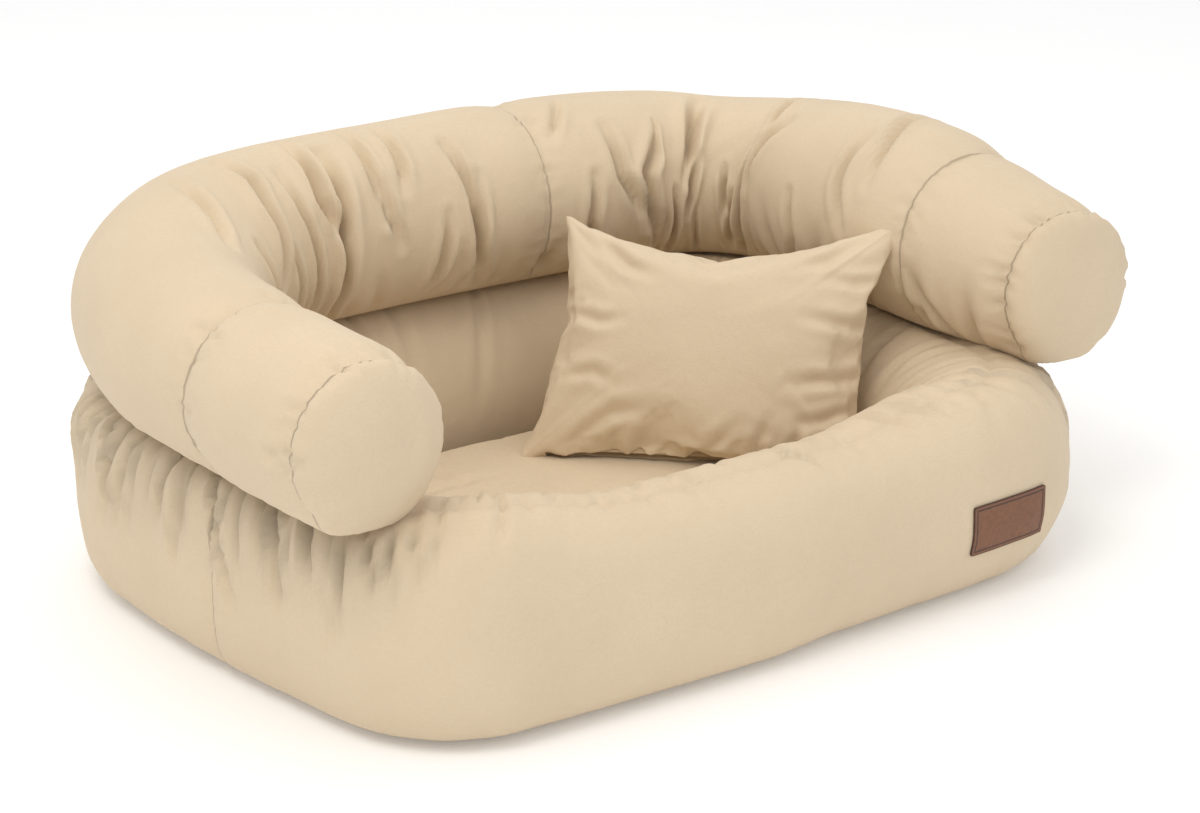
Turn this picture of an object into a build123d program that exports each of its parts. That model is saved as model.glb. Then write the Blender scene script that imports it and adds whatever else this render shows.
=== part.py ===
from build123d import *
from collections import namedtuple
from math import asin, atan2, cos, degrees, pi, radians, sin, sqrt
import os

# Dog sofa: an oval stuffed wall on a base panel, a bolster roll sewn on three sides of the wall,
# a lift-out seat cushion in the well and a loose throw pillow that leans on the roll.
# Frame: origin on the floor under the middle of the footprint, +X right seen from the front, front faces -Y.

# Driving dimensions in millimetres
overall_width = 900
overall_depth = 678
wall_width = 850
wall_height = 178
wall_thickness = 166
wall_back_overhang = 13
wall_widest_y = 60
wall_front_sag = 17
arm_end_setback = 102
arm_roll_diameter = 141
back_roll_diameter = 174
seat_width = 502
seat_depth = 316
seat_thickness = 62
pillow_width = 290
pillow_height = 232
pillow_thickness = 94

# Plans of the wall and of the well inside it: bowed sides joined by tangent corner arcs
wall_front_bow = 4000
wall_back_bow = 1360
wall_side_bow = 1500
wall_front_corner = 124
wall_back_corner = 210
well_front_bow = 3800
well_back_bow = 1200
well_side_bow = 1200
well_front_corner = 46
well_back_corner = 70
side_seam_y = -66
sag_middle_x = -30
sag_reach = 290
sag_ramp_share = 0.59

# Sections of the wall on each of its arcs: half the front, front corner, side, back corner and half the back
front_steps = 6
front_corner_steps = 6
side_steps = 3
back_corner_steps = 7
back_steps = 5

# Plan of the outer line of the roll; its front corners lie beyond the ends of the arms
roll_back_bow = 2600
roll_side_bow = 5000
roll_corner = 294
roll_front_corner = 40

# Sewn skins and the slack between a skin and what it holds
cover_thickness = 1.2
base_thickness = 2.0
slack = 0.3

# Wall section: corner points as shares of thickness and height, and their rounding as shares of the thickness
wall_outline_shares = (
    (0.42, 0.00, 0.20),
    (0.50, 0.36, 0.60),
    (0.46, 0.82, 0.33),
    (0.24, 1.00, 0.27),
    (-0.12, 1.00, 0.30),
    (-0.40, 0.80, 0.54),
    (-0.50, 0.36, 0.60),
    (-0.42, 0.00, 0.20),
)
crest_seam_share = -0.06
base_share = 0.26

# Bolster roll
roll_flat = 8
seam_pinch = 4
pinch_reach = 70
arm_taper_length = 600
right_arm_panel_length = 115
left_arm_panel_length = 149
back_seam_shift = -94
cap_bulge = 24
arm_sections = 6
back_sections = 15

# Seat cushion: each level gives its height as a share of the thickness, and how far the side is drawn in
# as a share of the edge reach
seat_middle_y = -12
seat_corner_radius = 76
seat_side_bow = 1150
seat_end_bow = 12000
seat_edge_reach = 60
seat_seam_share = 0.42
seat_level_shares = (
    (0.00, 0.62),
    (0.07, 0.26),
    (0.20, 0.05),
    (0.32, 0.00),
    (0.42, 0.07),
    (0.52, 0.00),
    (0.68, 0.05),
    (0.83, 0.20),
    (0.93, 0.45),
    (0.985, 0.75),
    (1.00, 1.00),
)

# Throw pillow: place of its middle, the heading of its lower edge, how far it leans back and is skewed, and its
# stations as shares of the half width, the thickness and the half height
pillow_middle = (137, -4, 159)
pillow_heading = -43.8
pillow_lean = 35.2
pillow_skew = 7
pillow_edge = 5
pillow_station_shares = (
    (-1.00, 0.00, 1.000),
    (-0.92, 0.34, 0.985),
    (-0.72, 0.72, 0.965),
    (-0.38, 0.95, 0.955),
    (0.00, 1.00, 0.952),
    (0.38, 0.95, 0.955),
    (0.72, 0.72, 0.965),
    (0.92, 0.34, 0.985),
    (1.00, 0.00, 1.000),
)

# Leather patch on the front of the wall
patch_width = 90
patch_height = 45
patch_thickness = 1.6
patch_middle_x = 218
patch_middle_z = 73
patch_corner_radius = 2

# Zip in a pocket of each loose cushion
zip_length = 240
zip_end_room = 16
zip_pocket_width = 11
zip_pocket_depth = 16
zip_tape_thickness = 1.2
zip_coil_width = 4.2
zip_coil_height = 2.4
zip_stop_length = 3
zip_stop_width = 5.6
zip_stop_rise = 0.6
zip_slider_length = 11
zip_slider_wall = 1.1
zip_running_gap = 0.35
zip_crown_width = 2.2
zip_crown_height = 2.9
zip_crown_length = 7
zip_crown_bar = 0.9
zip_pull_length = 19
zip_pull_width = 6
zip_pull_thickness = 1.1
zip_pull_bar = 1.2
zip_pull_window = 3.6
pillow_pocket_set = 22

Arc = namedtuple("Arc", "x y radius start sweep")
Station = namedtuple("Station", "x y heading")

half_turn = 180
quarter_turn = 90

os.makedirs("parts", exist_ok=True)


def finish(piece, name):
    """Label a finished piece and write its file."""
    piece.part.label = name
    export_step(piece.part, f"parts/{name}.step")


# Plans of the wall and of the roll


def corner_centre(side, side_bow, end, end_bow, corner):
    """Centre of the corner arc that touches two bows from inside, on the +X side and away from the middle."""
    from_side = side_bow - corner
    from_end = end_bow - corner
    span = end - side
    along = (from_side**2 - from_end**2 + span.length**2) / (2 * span.length)
    across = sqrt(from_side**2 - along**2)
    step = span.normalized()
    choices = [side + step * along + Vector(-step.Y, step.X) * across * sign for sign in (1, -1)]
    return max(choices, key=lambda point: point.X)


def heading_from(centre, point):
    """Heading in degrees from a centre towards a point."""
    return degrees(atan2(point.Y - centre.Y, point.X - centre.X))


def arc_between(centre, radius, first, last):
    """Counter-clockwise arc about a centre, from one heading in degrees to another."""
    return Arc(centre.X, centre.Y, radius, first, last - first)


def oval(half_width, widest_y, front_y, back_y, side_bow, front_bow, back_bow, front_corner, back_corner):
    """Ten tangent arcs, counter-clockwise from the middle of the front."""
    side = Vector(half_width - side_bow, widest_y)
    front = Vector(0, front_y + front_bow)
    back = Vector(0, back_y - back_bow)
    low = corner_centre(side, side_bow, front, front_bow, front_corner)
    high = corner_centre(side, side_bow, back, back_bow, back_corner)
    right_half = [
        arc_between(front, front_bow, -quarter_turn, heading_from(front, low)),
        arc_between(low, front_corner, heading_from(front, low), heading_from(side, low)),
        arc_between(side, side_bow, heading_from(side, low), heading_from(side, high)),
        arc_between(high, back_corner, heading_from(side, high), heading_from(back, high)),
        arc_between(back, back_bow, heading_from(back, high), quarter_turn),
    ]
    left_half = [Arc(-a.x, a.y, a.radius, half_turn - a.start - a.sweep, a.sweep) for a in reversed(right_half)]
    return right_half + left_half


def arc_length(arc):
    return radians(arc.sweep) * arc.radius


def chain_length(arcs):
    return sum(arc_length(arc) for arc in arcs)


def grown(arcs, amount):
    """The same arcs, further out by an amount."""
    return [arc._replace(radius=arc.radius + amount) for arc in arcs]


def stretch(arcs, first, last):
    """The pieces of a chain of arcs that lie between two distances along it."""
    pieces = []
    walked = 0
    for arc in arcs:
        begin = max(first - walked, 0)
        until = min(last - walked, arc_length(arc))
        if until - begin > slack:
            start = arc.start + degrees(begin / arc.radius)
            pieces.append(arc._replace(start=start, sweep=degrees((until - begin) / arc.radius)))
        walked += arc_length(arc)
    return pieces


def point_on(arc, heading):
    return Vector(arc.x + arc.radius * cos(radians(heading)), arc.y + arc.radius * sin(radians(heading)))


def station_at(arcs, distance):
    """Point and outward heading at a distance along a chain of arcs."""
    walked = 0
    for arc in arcs:
        if distance <= walked + arc_length(arc) or arc is arcs[-1]:
            heading = arc.start + degrees((distance - walked) / arc.radius)
            point = point_on(arc, heading)
            return Station(point.X, point.Y, heading)
        walked += arc_length(arc)


def distance_to_side(arcs, y):
    """Distance along a plan, from the middle of its front, to where its right side bow is at a given y."""
    side = arcs[2]
    heading = degrees(asin((y - side.y) / side.radius))
    return chain_length(arcs[:2]) + radians(heading - side.start) * side.radius


def upright_plane(x, y, heading):
    """Plane that stands across the wall: its X points outwards and its Y points up."""
    outwards = (cos(radians(heading)), sin(radians(heading)), 0)
    across = (sin(radians(heading)), -cos(radians(heading)), 0)
    return Plane(origin=(x, y, 0), x_dir=outwards, z_dir=across)


front_y = -overall_depth / 2
roll_back_y = overall_depth / 2
wall_back_y = roll_back_y - wall_back_overhang
wall_plan = oval(
    wall_width / 2,
    wall_widest_y,
    front_y,
    wall_back_y,
    wall_side_bow,
    wall_front_bow,
    wall_back_bow,
    wall_front_corner,
    wall_back_corner,
)
well_plan = oval(
    wall_width / 2 - wall_thickness,
    wall_widest_y,
    front_y + wall_thickness,
    wall_back_y - wall_thickness,
    well_side_bow,
    well_front_bow,
    well_back_bow,
    well_front_corner,
    well_back_corner,
)

# Wall sections, drawn flat with +X outwards and +Y up

crest_seam = crest_seam_share * wall_thickness


def eased(share):
    """Smooth step from zero to one."""
    share = min(max(share, 0), 1)
    return share * share * (3 - 2 * share)


def wall_outline(inset, thickness, height):
    """Closed wall outline, drawn in from the outer skin by an inset."""
    points = [(u * thickness, v * height) for u, v, _ in wall_outline_shares]
    rounding = [r * wall_thickness for _, _, r in wall_outline_shares]
    with BuildSketch() as outline:
        with BuildLine():
            FilletPolyline(*points, radius=rounding, close=True)
        make_face()
        if inset:
            offset(amount=-inset)
    return outline.sketch


def skin_section(side, inset, skin, thickness, height):
    """Section of a sewn skin on one side of the crest seam, 1 for outside and -1 for inside."""
    above_base = wall_height - base_thickness
    with BuildSketch() as band:
        add(wall_outline(inset, thickness, height))
        add(wall_outline(inset + skin, thickness, height), mode=Mode.SUBTRACT)
        with Locations((crest_seam + side * thickness, base_thickness + above_base / 2 + skin)):
            Rectangle(2 * thickness, above_base + 2 * skin, mode=Mode.INTERSECT)
    return band.sketch


def outer_skin(thickness, height):
    return skin_section(1, 0, cover_thickness, thickness, height)


def inner_skin(thickness, height):
    return skin_section(-1, 0, cover_thickness, thickness, height)


def patch_skin(thickness, height):
    return skin_section(1, -patch_thickness, patch_thickness, thickness, height)


def stuffing(thickness, height):
    with BuildSketch() as section:
        add(wall_outline(cover_thickness + slack, thickness, height))
        with Locations((0, base_thickness + height / 2)):
            Rectangle(2 * thickness, height, mode=Mode.INTERSECT)
    return section.sketch


belly_share = 2 * wall_outline(0, wall_thickness, wall_height).bounding_box().max.X / wall_thickness


def crest_height(point):
    """Height of the wall at a point of its outer plan: the front sags between the arms."""
    if point.Y > wall_widest_y + front_y:
        return wall_height
    return wall_height - wall_front_sag * eased((1 - abs(point.X - sag_middle_x) / sag_reach) / sag_ramp_share)


def wall_section(drawing, number, share):
    """A section of the wall on its upright plane, at a share of one arc of its plans."""
    outer, inner = (point_on(arc, arc.start + share * arc.sweep) for arc in (wall_plan[number], well_plan[number]))
    middle = (outer + inner) / 2
    across = outer - inner
    plane = Plane(origin=(middle.X, middle.Y, 0), x_dir=across.normalized(), z_dir=across.normalized().cross(Vector(0, 0, 1)))
    return drawing(across.length / belly_share, crest_height(outer)).moved(plane.location).face()


def wall_body(drawing, places):
    """One solid through the sections at a list of places, each an arc's number and a share of it."""
    with BuildPart() as body:
        loft([wall_section(drawing, number, share) for number, share in places], ruled=True)
    return body.part


def plan_face(arcs, z):
    """Flat face inside a closed chain of arcs."""
    with BuildSketch(Plane.XY.offset(z)) as face:
        with BuildLine():
            for arc in arcs:
                CenterArc((arc.x, arc.y), arc.radius, arc.start, arc.sweep)
        make_face()
    return face.sketch


# Base panel under the whole sofa

foot_inset = wall_thickness / 2 - base_share * wall_thickness

with BuildPart() as base_panel:
    add(plan_face(grown(wall_plan, -foot_inset), 0))
    extrude(amount=base_thickness)
finish(base_panel, "base_panel")

# Wall: stuffing, outer cover and inner lining, split at the two side seams

side_arc = wall_plan[2]
seam_share = (degrees(asin((side_seam_y - side_arc.y) / side_arc.radius)) - side_arc.start) / side_arc.sweep


def steps_on(number, first, last, steps):
    """Places from one share of an arc towards another, without the last."""
    return [(number, first + (last - first) * step / steps) for step in range(steps)]


wall_halves = {
    "front": [
        *steps_on(7, 1 - seam_share, 1, side_steps),
        *steps_on(8, 0, 1, front_corner_steps),
        *steps_on(9, 0, 1, front_steps),
        *steps_on(0, 0, 1, front_steps),
        *steps_on(1, 0, 1, front_corner_steps),
        *steps_on(2, 0, seam_share, side_steps),
        (2, seam_share),
    ],
    "rear": [
        *steps_on(2, seam_share, 1, side_steps),
        *steps_on(3, 0, 1, back_corner_steps),
        *steps_on(4, 0, 1, back_steps),
        *steps_on(5, 0, 1, back_steps),
        *steps_on(6, 0, 1, back_corner_steps),
        *steps_on(7, 0, 1 - seam_share, side_steps),
        (7, 1 - seam_share),
    ],
}

for half, places in wall_halves.items():
    with BuildPart() as wall_filling:
        add(wall_body(stuffing, places))
    finish(wall_filling, f"{half}_wall_filling")
    with BuildPart() as wall_cover:
        add(wall_body(outer_skin, places))
    finish(wall_cover, f"{half}_wall_cover")

# The lining is two panels that meet at the side seams, a slack apart

seam_slack = slack / arc_length(side_arc)
rear_panel = [(2, seam_share + seam_slack), *wall_halves["rear"][1:-1], (7, 1 - seam_share - seam_slack)]

lining_panels = [wall_body(inner_skin, places).solid() for places in (wall_halves["front"], rear_panel)]
inner_wall_lining = Compound(lining_panels)
inner_wall_lining.label = "inner_wall_lining"
export_step(inner_wall_lining, "parts/inner_wall_lining.step")

# Bolster roll on the two sides and the back

roll_plan = oval(
    overall_width / 2,
    0,
    front_y,
    roll_back_y,
    roll_side_bow,
    wall_front_bow,
    roll_back_bow,
    roll_front_corner,
    roll_corner,
)
arm_end_y = front_y + arm_end_setback
arm_start = distance_to_side(roll_plan, arm_end_y)
roll_line = stretch(roll_plan, arm_start, chain_length(roll_plan) - arm_start)
roll_length = chain_length(roll_line)
arm_radius = arm_roll_diameter / 2
back_radius = back_roll_diameter / 2
back_seam = roll_length / 2 + back_seam_shift
roll_seams = (0, right_arm_panel_length, back_seam, roll_length - left_arm_panel_length, roll_length)


def roll_radius(distance):
    """Radius of the roll, thicker along the back and drawn in at each seam."""
    from_end = min(distance, roll_length - distance)
    full = arm_radius + (back_radius - arm_radius) * eased(from_end / arm_taper_length)
    to_seam = min(abs(distance - seam) for seam in roll_seams)
    return full - seam_pinch * (1 - eased(to_seam / pinch_reach))


def roll_centre(distance):
    """Middle of the roll at a distance along its outer line, and the heading out of the sofa there."""
    outer = station_at(roll_line, distance)
    radius = roll_radius(distance)
    heading = radians(outer.heading)
    return Station(outer.x - radius * cos(heading), outer.y - radius * sin(heading), outer.heading)


def roll_face(distance, inset):
    """Section of the roll: a circle with a flat foot on the wall's crest."""
    centre = roll_centre(distance)
    radius = roll_radius(distance) - inset
    rise = roll_radius(distance) - roll_flat
    foot = -rise + inset
    half_foot = sqrt(radius**2 - foot**2)
    middle = wall_height + rise
    with BuildSketch(upright_plane(centre.x, centre.y, centre.heading)) as face:
        with BuildLine():
            Line((-half_foot, middle + foot), (half_foot, middle + foot))
            ThreePointArc((half_foot, middle + foot), (radius, middle), (0, middle + radius))
            ThreePointArc((0, middle + radius), (-radius, middle), (-half_foot, middle + foot))
        make_face()
    return face.sketch.face()


def roll_body(first, last, sections, inset):
    """Roll between two distances along its outer line."""
    places = [first + (last - first) * step / (sections - 1) for step in range(sections)]
    with BuildPart() as body:
        loft([roll_face(place, inset) for place in places])
    return body.part


def roll_dome(distance, outwards, inset):
    """Domed end of the roll beyond an arm's end section; outwards is -1 at the first end and 1 at the last."""
    centre = roll_centre(distance)
    middle = wall_height + roll_radius(distance) - roll_flat
    rim = roll_radius(distance) - inset
    bulge = cap_bulge - inset
    dome_radius = (rim**2 + bulge**2) / (2 * bulge)
    heading = radians(centre.heading)
    along = Vector(-sin(heading), cos(heading)) * outwards
    pole = Vector(centre.x, centre.y, middle) + along * (bulge - dome_radius)
    with BuildPart() as dome:
        extrude(roll_face(distance, inset), amount=bulge, dir=along)
        with Locations(Plane(origin=pole, x_dir=(0, 0, 1), z_dir=along).location):
            Sphere(dome_radius, mode=Mode.INTERSECT)
    return dome.part


panels = (
    ("right_arm", 0, 1, arm_sections),
    ("right_back", 1, 2, back_sections),
    ("left_back", 2, 3, back_sections),
    ("left_arm", 3, 4, arm_sections),
)
filling_inset = cover_thickness + slack
domes = {"right_arm": (0, -1), "left_arm": (roll_length, 1)}

for panel, first, last, sections in panels:
    begin, until = roll_seams[first], roll_seams[last]
    with BuildPart() as roll_cover:
        add(roll_body(begin, until, sections, 0))
        add(roll_body(begin, until, sections, cover_thickness), mode=Mode.SUBTRACT)
    finish(roll_cover, f"{panel}_cover")
    with BuildPart() as roll_filling:
        add(roll_body(begin, until, sections, filling_inset))
        if panel in domes:
            add(roll_dome(*domes[panel], filling_inset))
    finish(roll_filling, f"{panel}_filling")

for panel, (distance, outwards) in domes.items():
    with BuildPart() as end_cap:
        add(roll_dome(distance, outwards, 0))
        add(roll_dome(distance, outwards, cover_thickness), mode=Mode.SUBTRACT)
    finish(end_cap, f"{panel}_end_cap")

# Leather patch on the front of the wall, curved to the cover it is sewn to

with BuildPart() as leather_label:
    add(wall_body(patch_skin, [*steps_on(0, 0, 1, front_steps), (0, 1)]))
    with BuildSketch(Plane.XZ.offset(-front_y)) as patch_shape:
        with Locations((patch_middle_x, patch_middle_z)):
            RectangleRounded(patch_width, patch_height, patch_corner_radius)
    extrude(amount=wall_thickness, both=True, mode=Mode.INTERSECT)
finish(leather_label, "leather_label")

# Zips: a taped channel, the coil on a web in it, end stops, and a slider with a pull on its crown.
# A zip frame has its origin on the pocket floor, X along the zip and Z out of the pocket.

coil_length = zip_length - 2 * zip_end_room
lip_room = zip_slider_wall + 2 * zip_running_gap
coil_floor = zip_tape_thickness + lip_room
coil_top = coil_floor + zip_coil_height
slider_inside = zip_coil_width + 2 * zip_running_gap
slider_outside = slider_inside + 2 * zip_slider_wall
slider_floor = zip_tape_thickness + zip_running_gap
slider_roof = coil_top + zip_running_gap
slider_top = slider_roof + zip_slider_wall
slider_start = -coil_length / 2 + zip_stop_length + zip_running_gap + zip_slider_length / 2
crown_opening = zip_crown_height - zip_crown_bar
pull_level = slider_top + crown_opening / 2
pull_start = slider_start + zip_crown_length / 2 - zip_crown_bar - zip_running_gap - zip_pull_bar


def across_zip(frame, along):
    """Plane across a zip at a distance along it: X points across the pocket and Y out of it."""
    return Plane(origin=frame.from_local_coords((along, 0, 0)), x_dir=frame.y_dir, z_dir=frame.x_dir)


def block_between(width, low, high):
    """Rectangle on the middle of the zip, from one level above the pocket floor to another."""
    with Locations((0, (low + high) / 2)):
        Rectangle(width, high - low)


def pocket_room(frame, reach):
    """Space taken by a pocket, from its floor out past the skin by a reach."""
    with BuildPart() as room:
        with BuildSketch(across_zip(frame, -zip_length / 2)):
            block_between(zip_pocket_width, 0, zip_pocket_depth + reach)
        extrude(amount=zip_length)
    return room.part


def make_zip(frame, name):
    """Write the five pieces of one zip."""
    with BuildPart() as tapes:
        with BuildSketch(across_zip(frame, -zip_length / 2)):
            block_between(zip_pocket_width, 0, zip_pocket_depth)
            with Locations((0, zip_tape_thickness + zip_pocket_depth / 2)):
                Rectangle(zip_pocket_width - 2 * zip_tape_thickness, zip_pocket_depth, mode=Mode.SUBTRACT)
        extrude(amount=zip_length)
        with BuildSketch(across_zip(frame, -coil_length / 2)):
            block_between(zip_tape_thickness, 0, coil_floor)
        extrude(amount=coil_length)
    finish(tapes, f"{name}_zip_tapes")

    with BuildPart() as coil:
        with BuildSketch(across_zip(frame, -coil_length / 2 + zip_stop_length)):
            block_between(zip_coil_width, coil_floor, coil_top)
        extrude(amount=coil_length - 2 * zip_stop_length)
    finish(coil, f"{name}_zip_coil")

    with BuildPart() as stops:
        for begin in (-coil_length / 2, coil_length / 2 - zip_stop_length):
            with BuildSketch(across_zip(frame, begin)):
                block_between(zip_stop_width, coil_floor, coil_top + zip_stop_rise)
            extrude(amount=zip_stop_length)
    finish(stops, f"{name}_zip_stops")

    with BuildPart() as slider:
        with BuildSketch(across_zip(frame, slider_start - zip_slider_length / 2)):
            block_between(slider_outside, slider_floor, slider_top)
            with Locations((0, (coil_floor + slider_roof - zip_running_gap) / 2)):
                Rectangle(slider_inside, slider_roof - coil_floor + zip_running_gap, mode=Mode.SUBTRACT)
            with Locations((0, coil_floor / 2)):
                Rectangle(zip_tape_thickness + 2 * zip_running_gap, coil_floor, mode=Mode.SUBTRACT)
        extrude(amount=zip_slider_length)
        with BuildSketch(across_zip(frame, slider_start - zip_crown_length / 2)):
            block_between(zip_crown_width, slider_top, slider_top + zip_crown_height)
        extrude(amount=zip_crown_length)
        with BuildSketch(across_zip(frame, slider_start - zip_crown_length / 2 + zip_crown_bar)):
            block_between(zip_crown_width, slider_top, slider_top + crown_opening)
        extrude(amount=zip_crown_length - 2 * zip_crown_bar, mode=Mode.SUBTRACT)
    finish(slider, f"{name}_zip_slider")

    pull_plane = Plane(
        origin=frame.from_local_coords((pull_start, 0, pull_level - zip_pull_thickness / 2)),
        x_dir=frame.x_dir,
        z_dir=frame.z_dir,
    )
    with BuildPart() as pull:
        with BuildSketch(pull_plane):
            with Locations((zip_pull_length / 2, 0)):
                RectangleRounded(zip_pull_length, zip_pull_width, zip_pull_bar)
            with Locations((zip_pull_bar + zip_pull_window / 2, 0)):
                Rectangle(zip_pull_window, zip_pull_window, mode=Mode.SUBTRACT)
        extrude(amount=zip_pull_thickness)
    finish(pull, f"{name}_zip_pull")
    hinge = frame.from_local_coords((pull_start + zip_pull_bar / 2, 0, pull_level))
    print(name, "zip pull axis", hinge, frame.y_dir, "slide along", frame.x_dir)


# Seat cushion in the well

seat_plan = oval(
    seat_width / 2,
    wall_widest_y,
    seat_middle_y - seat_depth / 2,
    seat_middle_y + seat_depth / 2,
    seat_side_bow,
    seat_end_bow,
    seat_end_bow,
    seat_corner_radius,
    seat_corner_radius,
)
seat_floor = base_thickness + slack
seat_seam_level = seat_floor + seat_seam_share * seat_thickness


def seat_body(inset):
    """Seat cushion drawn in from its skin by an inset, measured square to the skin."""
    points = [Vector(seat_edge_reach * draw, seat_thickness * rise) for rise, draw in seat_level_shares]
    levels = [points[0] + Vector(0, inset)]
    for before, here, after in zip(points, points[1:], points[2:]):
        skin = (after - before).normalized()
        levels.append(here + Vector(skin.Y, -skin.X) * inset)
    levels.append(points[-1] - Vector(0, inset))
    with BuildPart() as body:
        loft([plan_face(grown(seat_plan, -level.X), seat_floor + level.Y).face() for level in levels], ruled=True)
    return body.part


seat_zip_frame = Plane(
    origin=(0, seat_plan[4].y + seat_end_bow - seat_edge_reach * seat_level_shares[4][1] - zip_pocket_depth, seat_seam_level),
    x_dir=(1, 0, 0),
    z_dir=(0, 1, 0),
)
seat_pocket = pocket_room(seat_zip_frame, seat_corner_radius)

with BuildPart() as seat_filling:
    add(seat_body(filling_inset))
    add(seat_pocket, mode=Mode.SUBTRACT)
finish(seat_filling, "seat_filling")

for cover_side, kept in (("top", Keep.TOP), ("bottom", Keep.BOTTOM)):
    with BuildPart() as seat_cover:
        add(seat_body(0))
        add(seat_body(cover_thickness), mode=Mode.SUBTRACT)
        add(seat_pocket, mode=Mode.SUBTRACT)
        split(bisect_by=Plane.XY.offset(seat_seam_level), keep=kept)
    finish(seat_cover, f"seat_cover_{cover_side}")

make_zip(seat_zip_frame, "seat")

# Throw pillow that leans on the roll

pillow_along = Vector(cos(radians(pillow_heading)), sin(radians(pillow_heading)), 0)
pillow_behind = Vector(-pillow_along.Y, pillow_along.X, 0)
pillow_up = pillow_behind * sin(radians(pillow_lean)) + Vector(0, 0, cos(radians(pillow_lean)))
pillow_frame = Plane(origin=pillow_middle, x_dir=pillow_along, z_dir=pillow_along.cross(pillow_up))
pillow_slope = sin(radians(pillow_skew))


def lens_face(width_share, thickness_share, height_share, inset):
    """Section of the pillow: two arcs that meet at the seams."""
    half_height = height_share * pillow_height / 2
    half_depth = (pillow_edge + thickness_share * (pillow_thickness - pillow_edge)) / 2
    radius = (half_height**2 + half_depth**2) / (2 * half_depth)
    reach = sqrt((radius - inset) ** 2 - (radius - half_depth) ** 2)
    crown = half_depth - inset
    along = width_share * (pillow_width / 2 - inset)
    leaning = (pillow_up + pillow_along * pillow_slope).normalized()
    plane = Plane(
        origin=pillow_frame.from_local_coords((along, 0, 0)),
        x_dir=leaning,
        z_dir=leaning.cross(pillow_frame.z_dir),
    )
    with BuildSketch(plane) as face:
        with BuildLine():
            ThreePointArc((-reach, 0), (0, crown), (reach, 0))
            ThreePointArc((reach, 0), (0, -crown), (-reach, 0))
        make_face()
    return face.sketch.face()


def pillow_body(inset):
    with BuildPart() as body:
        loft([lens_face(*shares, inset) for shares in pillow_station_shares])
    return body.part


pillow_waist = min(height_share for _, _, height_share in pillow_station_shares) * pillow_height / 2
pillow_zip_frame = Plane(
    origin=pillow_frame.from_local_coords((-pillow_slope * pillow_waist, pillow_pocket_set - pillow_waist, 0)),
    x_dir=pillow_frame.x_dir,
    z_dir=-pillow_frame.y_dir,
)
pillow_pocket = pocket_room(pillow_zip_frame, pillow_pocket_set)

with BuildPart() as pillow_filling:
    add(pillow_body(filling_inset))
    add(pillow_pocket, mode=Mode.SUBTRACT)
finish(pillow_filling, "pillow_filling")

for cover_side, kept in (("front", Keep.TOP), ("back", Keep.BOTTOM)):
    with BuildPart() as pillow_cover:
        add(pillow_body(0))
        add(pillow_body(cover_thickness), mode=Mode.SUBTRACT)
        add(pillow_pocket, mode=Mode.SUBTRACT)
        split(bisect_by=pillow_frame, keep=kept)
    finish(pillow_cover, f"pillow_{cover_side}_cover")

make_zip(pillow_zip_frame, "pillow")
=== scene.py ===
import math

import bmesh
import bpy
import numpy as np
from mathutils import Matrix, Vector
from mathutils.bvhtree import BVHTree


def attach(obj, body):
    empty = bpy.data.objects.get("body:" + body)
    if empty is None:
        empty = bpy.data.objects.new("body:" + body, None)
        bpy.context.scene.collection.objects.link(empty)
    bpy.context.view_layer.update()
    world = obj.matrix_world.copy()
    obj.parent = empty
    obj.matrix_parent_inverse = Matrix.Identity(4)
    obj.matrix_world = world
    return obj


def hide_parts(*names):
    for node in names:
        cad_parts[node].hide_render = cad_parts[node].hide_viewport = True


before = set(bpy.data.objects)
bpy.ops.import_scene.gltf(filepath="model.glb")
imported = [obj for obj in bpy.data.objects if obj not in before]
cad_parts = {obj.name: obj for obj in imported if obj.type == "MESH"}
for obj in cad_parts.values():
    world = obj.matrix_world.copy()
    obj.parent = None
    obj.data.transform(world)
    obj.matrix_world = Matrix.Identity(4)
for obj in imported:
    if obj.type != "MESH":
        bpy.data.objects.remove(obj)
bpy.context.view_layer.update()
scene = bpy.context.scene
print("frame loaded", len(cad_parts), "nodes")


# Smooth steps and grooves
def soft(share):  # smooth step from 0 to 1
    share = np.clip(share, 0, 1)
    return share * share * (3 - 2 * share)


def between(value, start, end):  # 0 at start, 1 at end
    return soft((value - start) / (end - start))


def groove(gap, width, depth):  # rounded groove across a line
    return depth * np.exp(-((gap / width) ** 2))


# Plans made of tangent arcs
def cornerCentre(side, sideBow, end, endBow, corner):  # middle of the corner arc inside both bows
    fromSide, fromEnd = sideBow - corner, endBow - corner
    span = end - side
    along = (fromSide**2 - fromEnd**2 + span.length_squared) / (2 * span.length)
    across = math.sqrt(fromSide**2 - along**2)
    step = span.normalized()
    sideways = Vector((-step.y, step.x)) * across
    both = (side + step * along + sideways * way for way in (1, -1))
    return max(both, key=lambda point: point.x)


def halfPlan(plan, frontCorner, backCorner):  # five arcs, from the middle of the front to that of the back
    side = Vector((plan["halfWidth"] - plan["sideBow"], plan["widestY"]))
    front = Vector((0, plan["frontY"] + plan["frontBow"]))
    back = Vector((0, plan["backY"] - plan["backBow"]))
    low = cornerCentre(side, plan["sideBow"], front, plan["frontBow"], frontCorner)
    high = cornerCentre(side, plan["sideBow"], back, plan["backBow"], backCorner)

    def heading(centre, point):
        return math.atan2(point.y - centre.y, point.x - centre.x)

    turns = [
        (front, plan["frontBow"], -math.pi / 2, heading(front, low)),
        (low, frontCorner, heading(front, low), heading(side, low)),
        (side, plan["sideBow"], heading(side, low), heading(side, high)),
        (high, backCorner, heading(side, high), heading(back, high)),
        (back, plan["backBow"], heading(back, high), math.pi / 2),
    ]
    return [(centre.x, centre.y, radius, start, end - start) for centre, radius, start, end in turns]


def planArcs(plan):  # the closed plan, counter-clockwise from the middle of the front
    right, left = (halfPlan(plan, *plan[key]) for key in ("rightCorners", "leftCorners"))
    return right + [(-x, y, r, math.pi - start - sweep, sweep) for x, y, r, start, sweep in reversed(left)]


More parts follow.
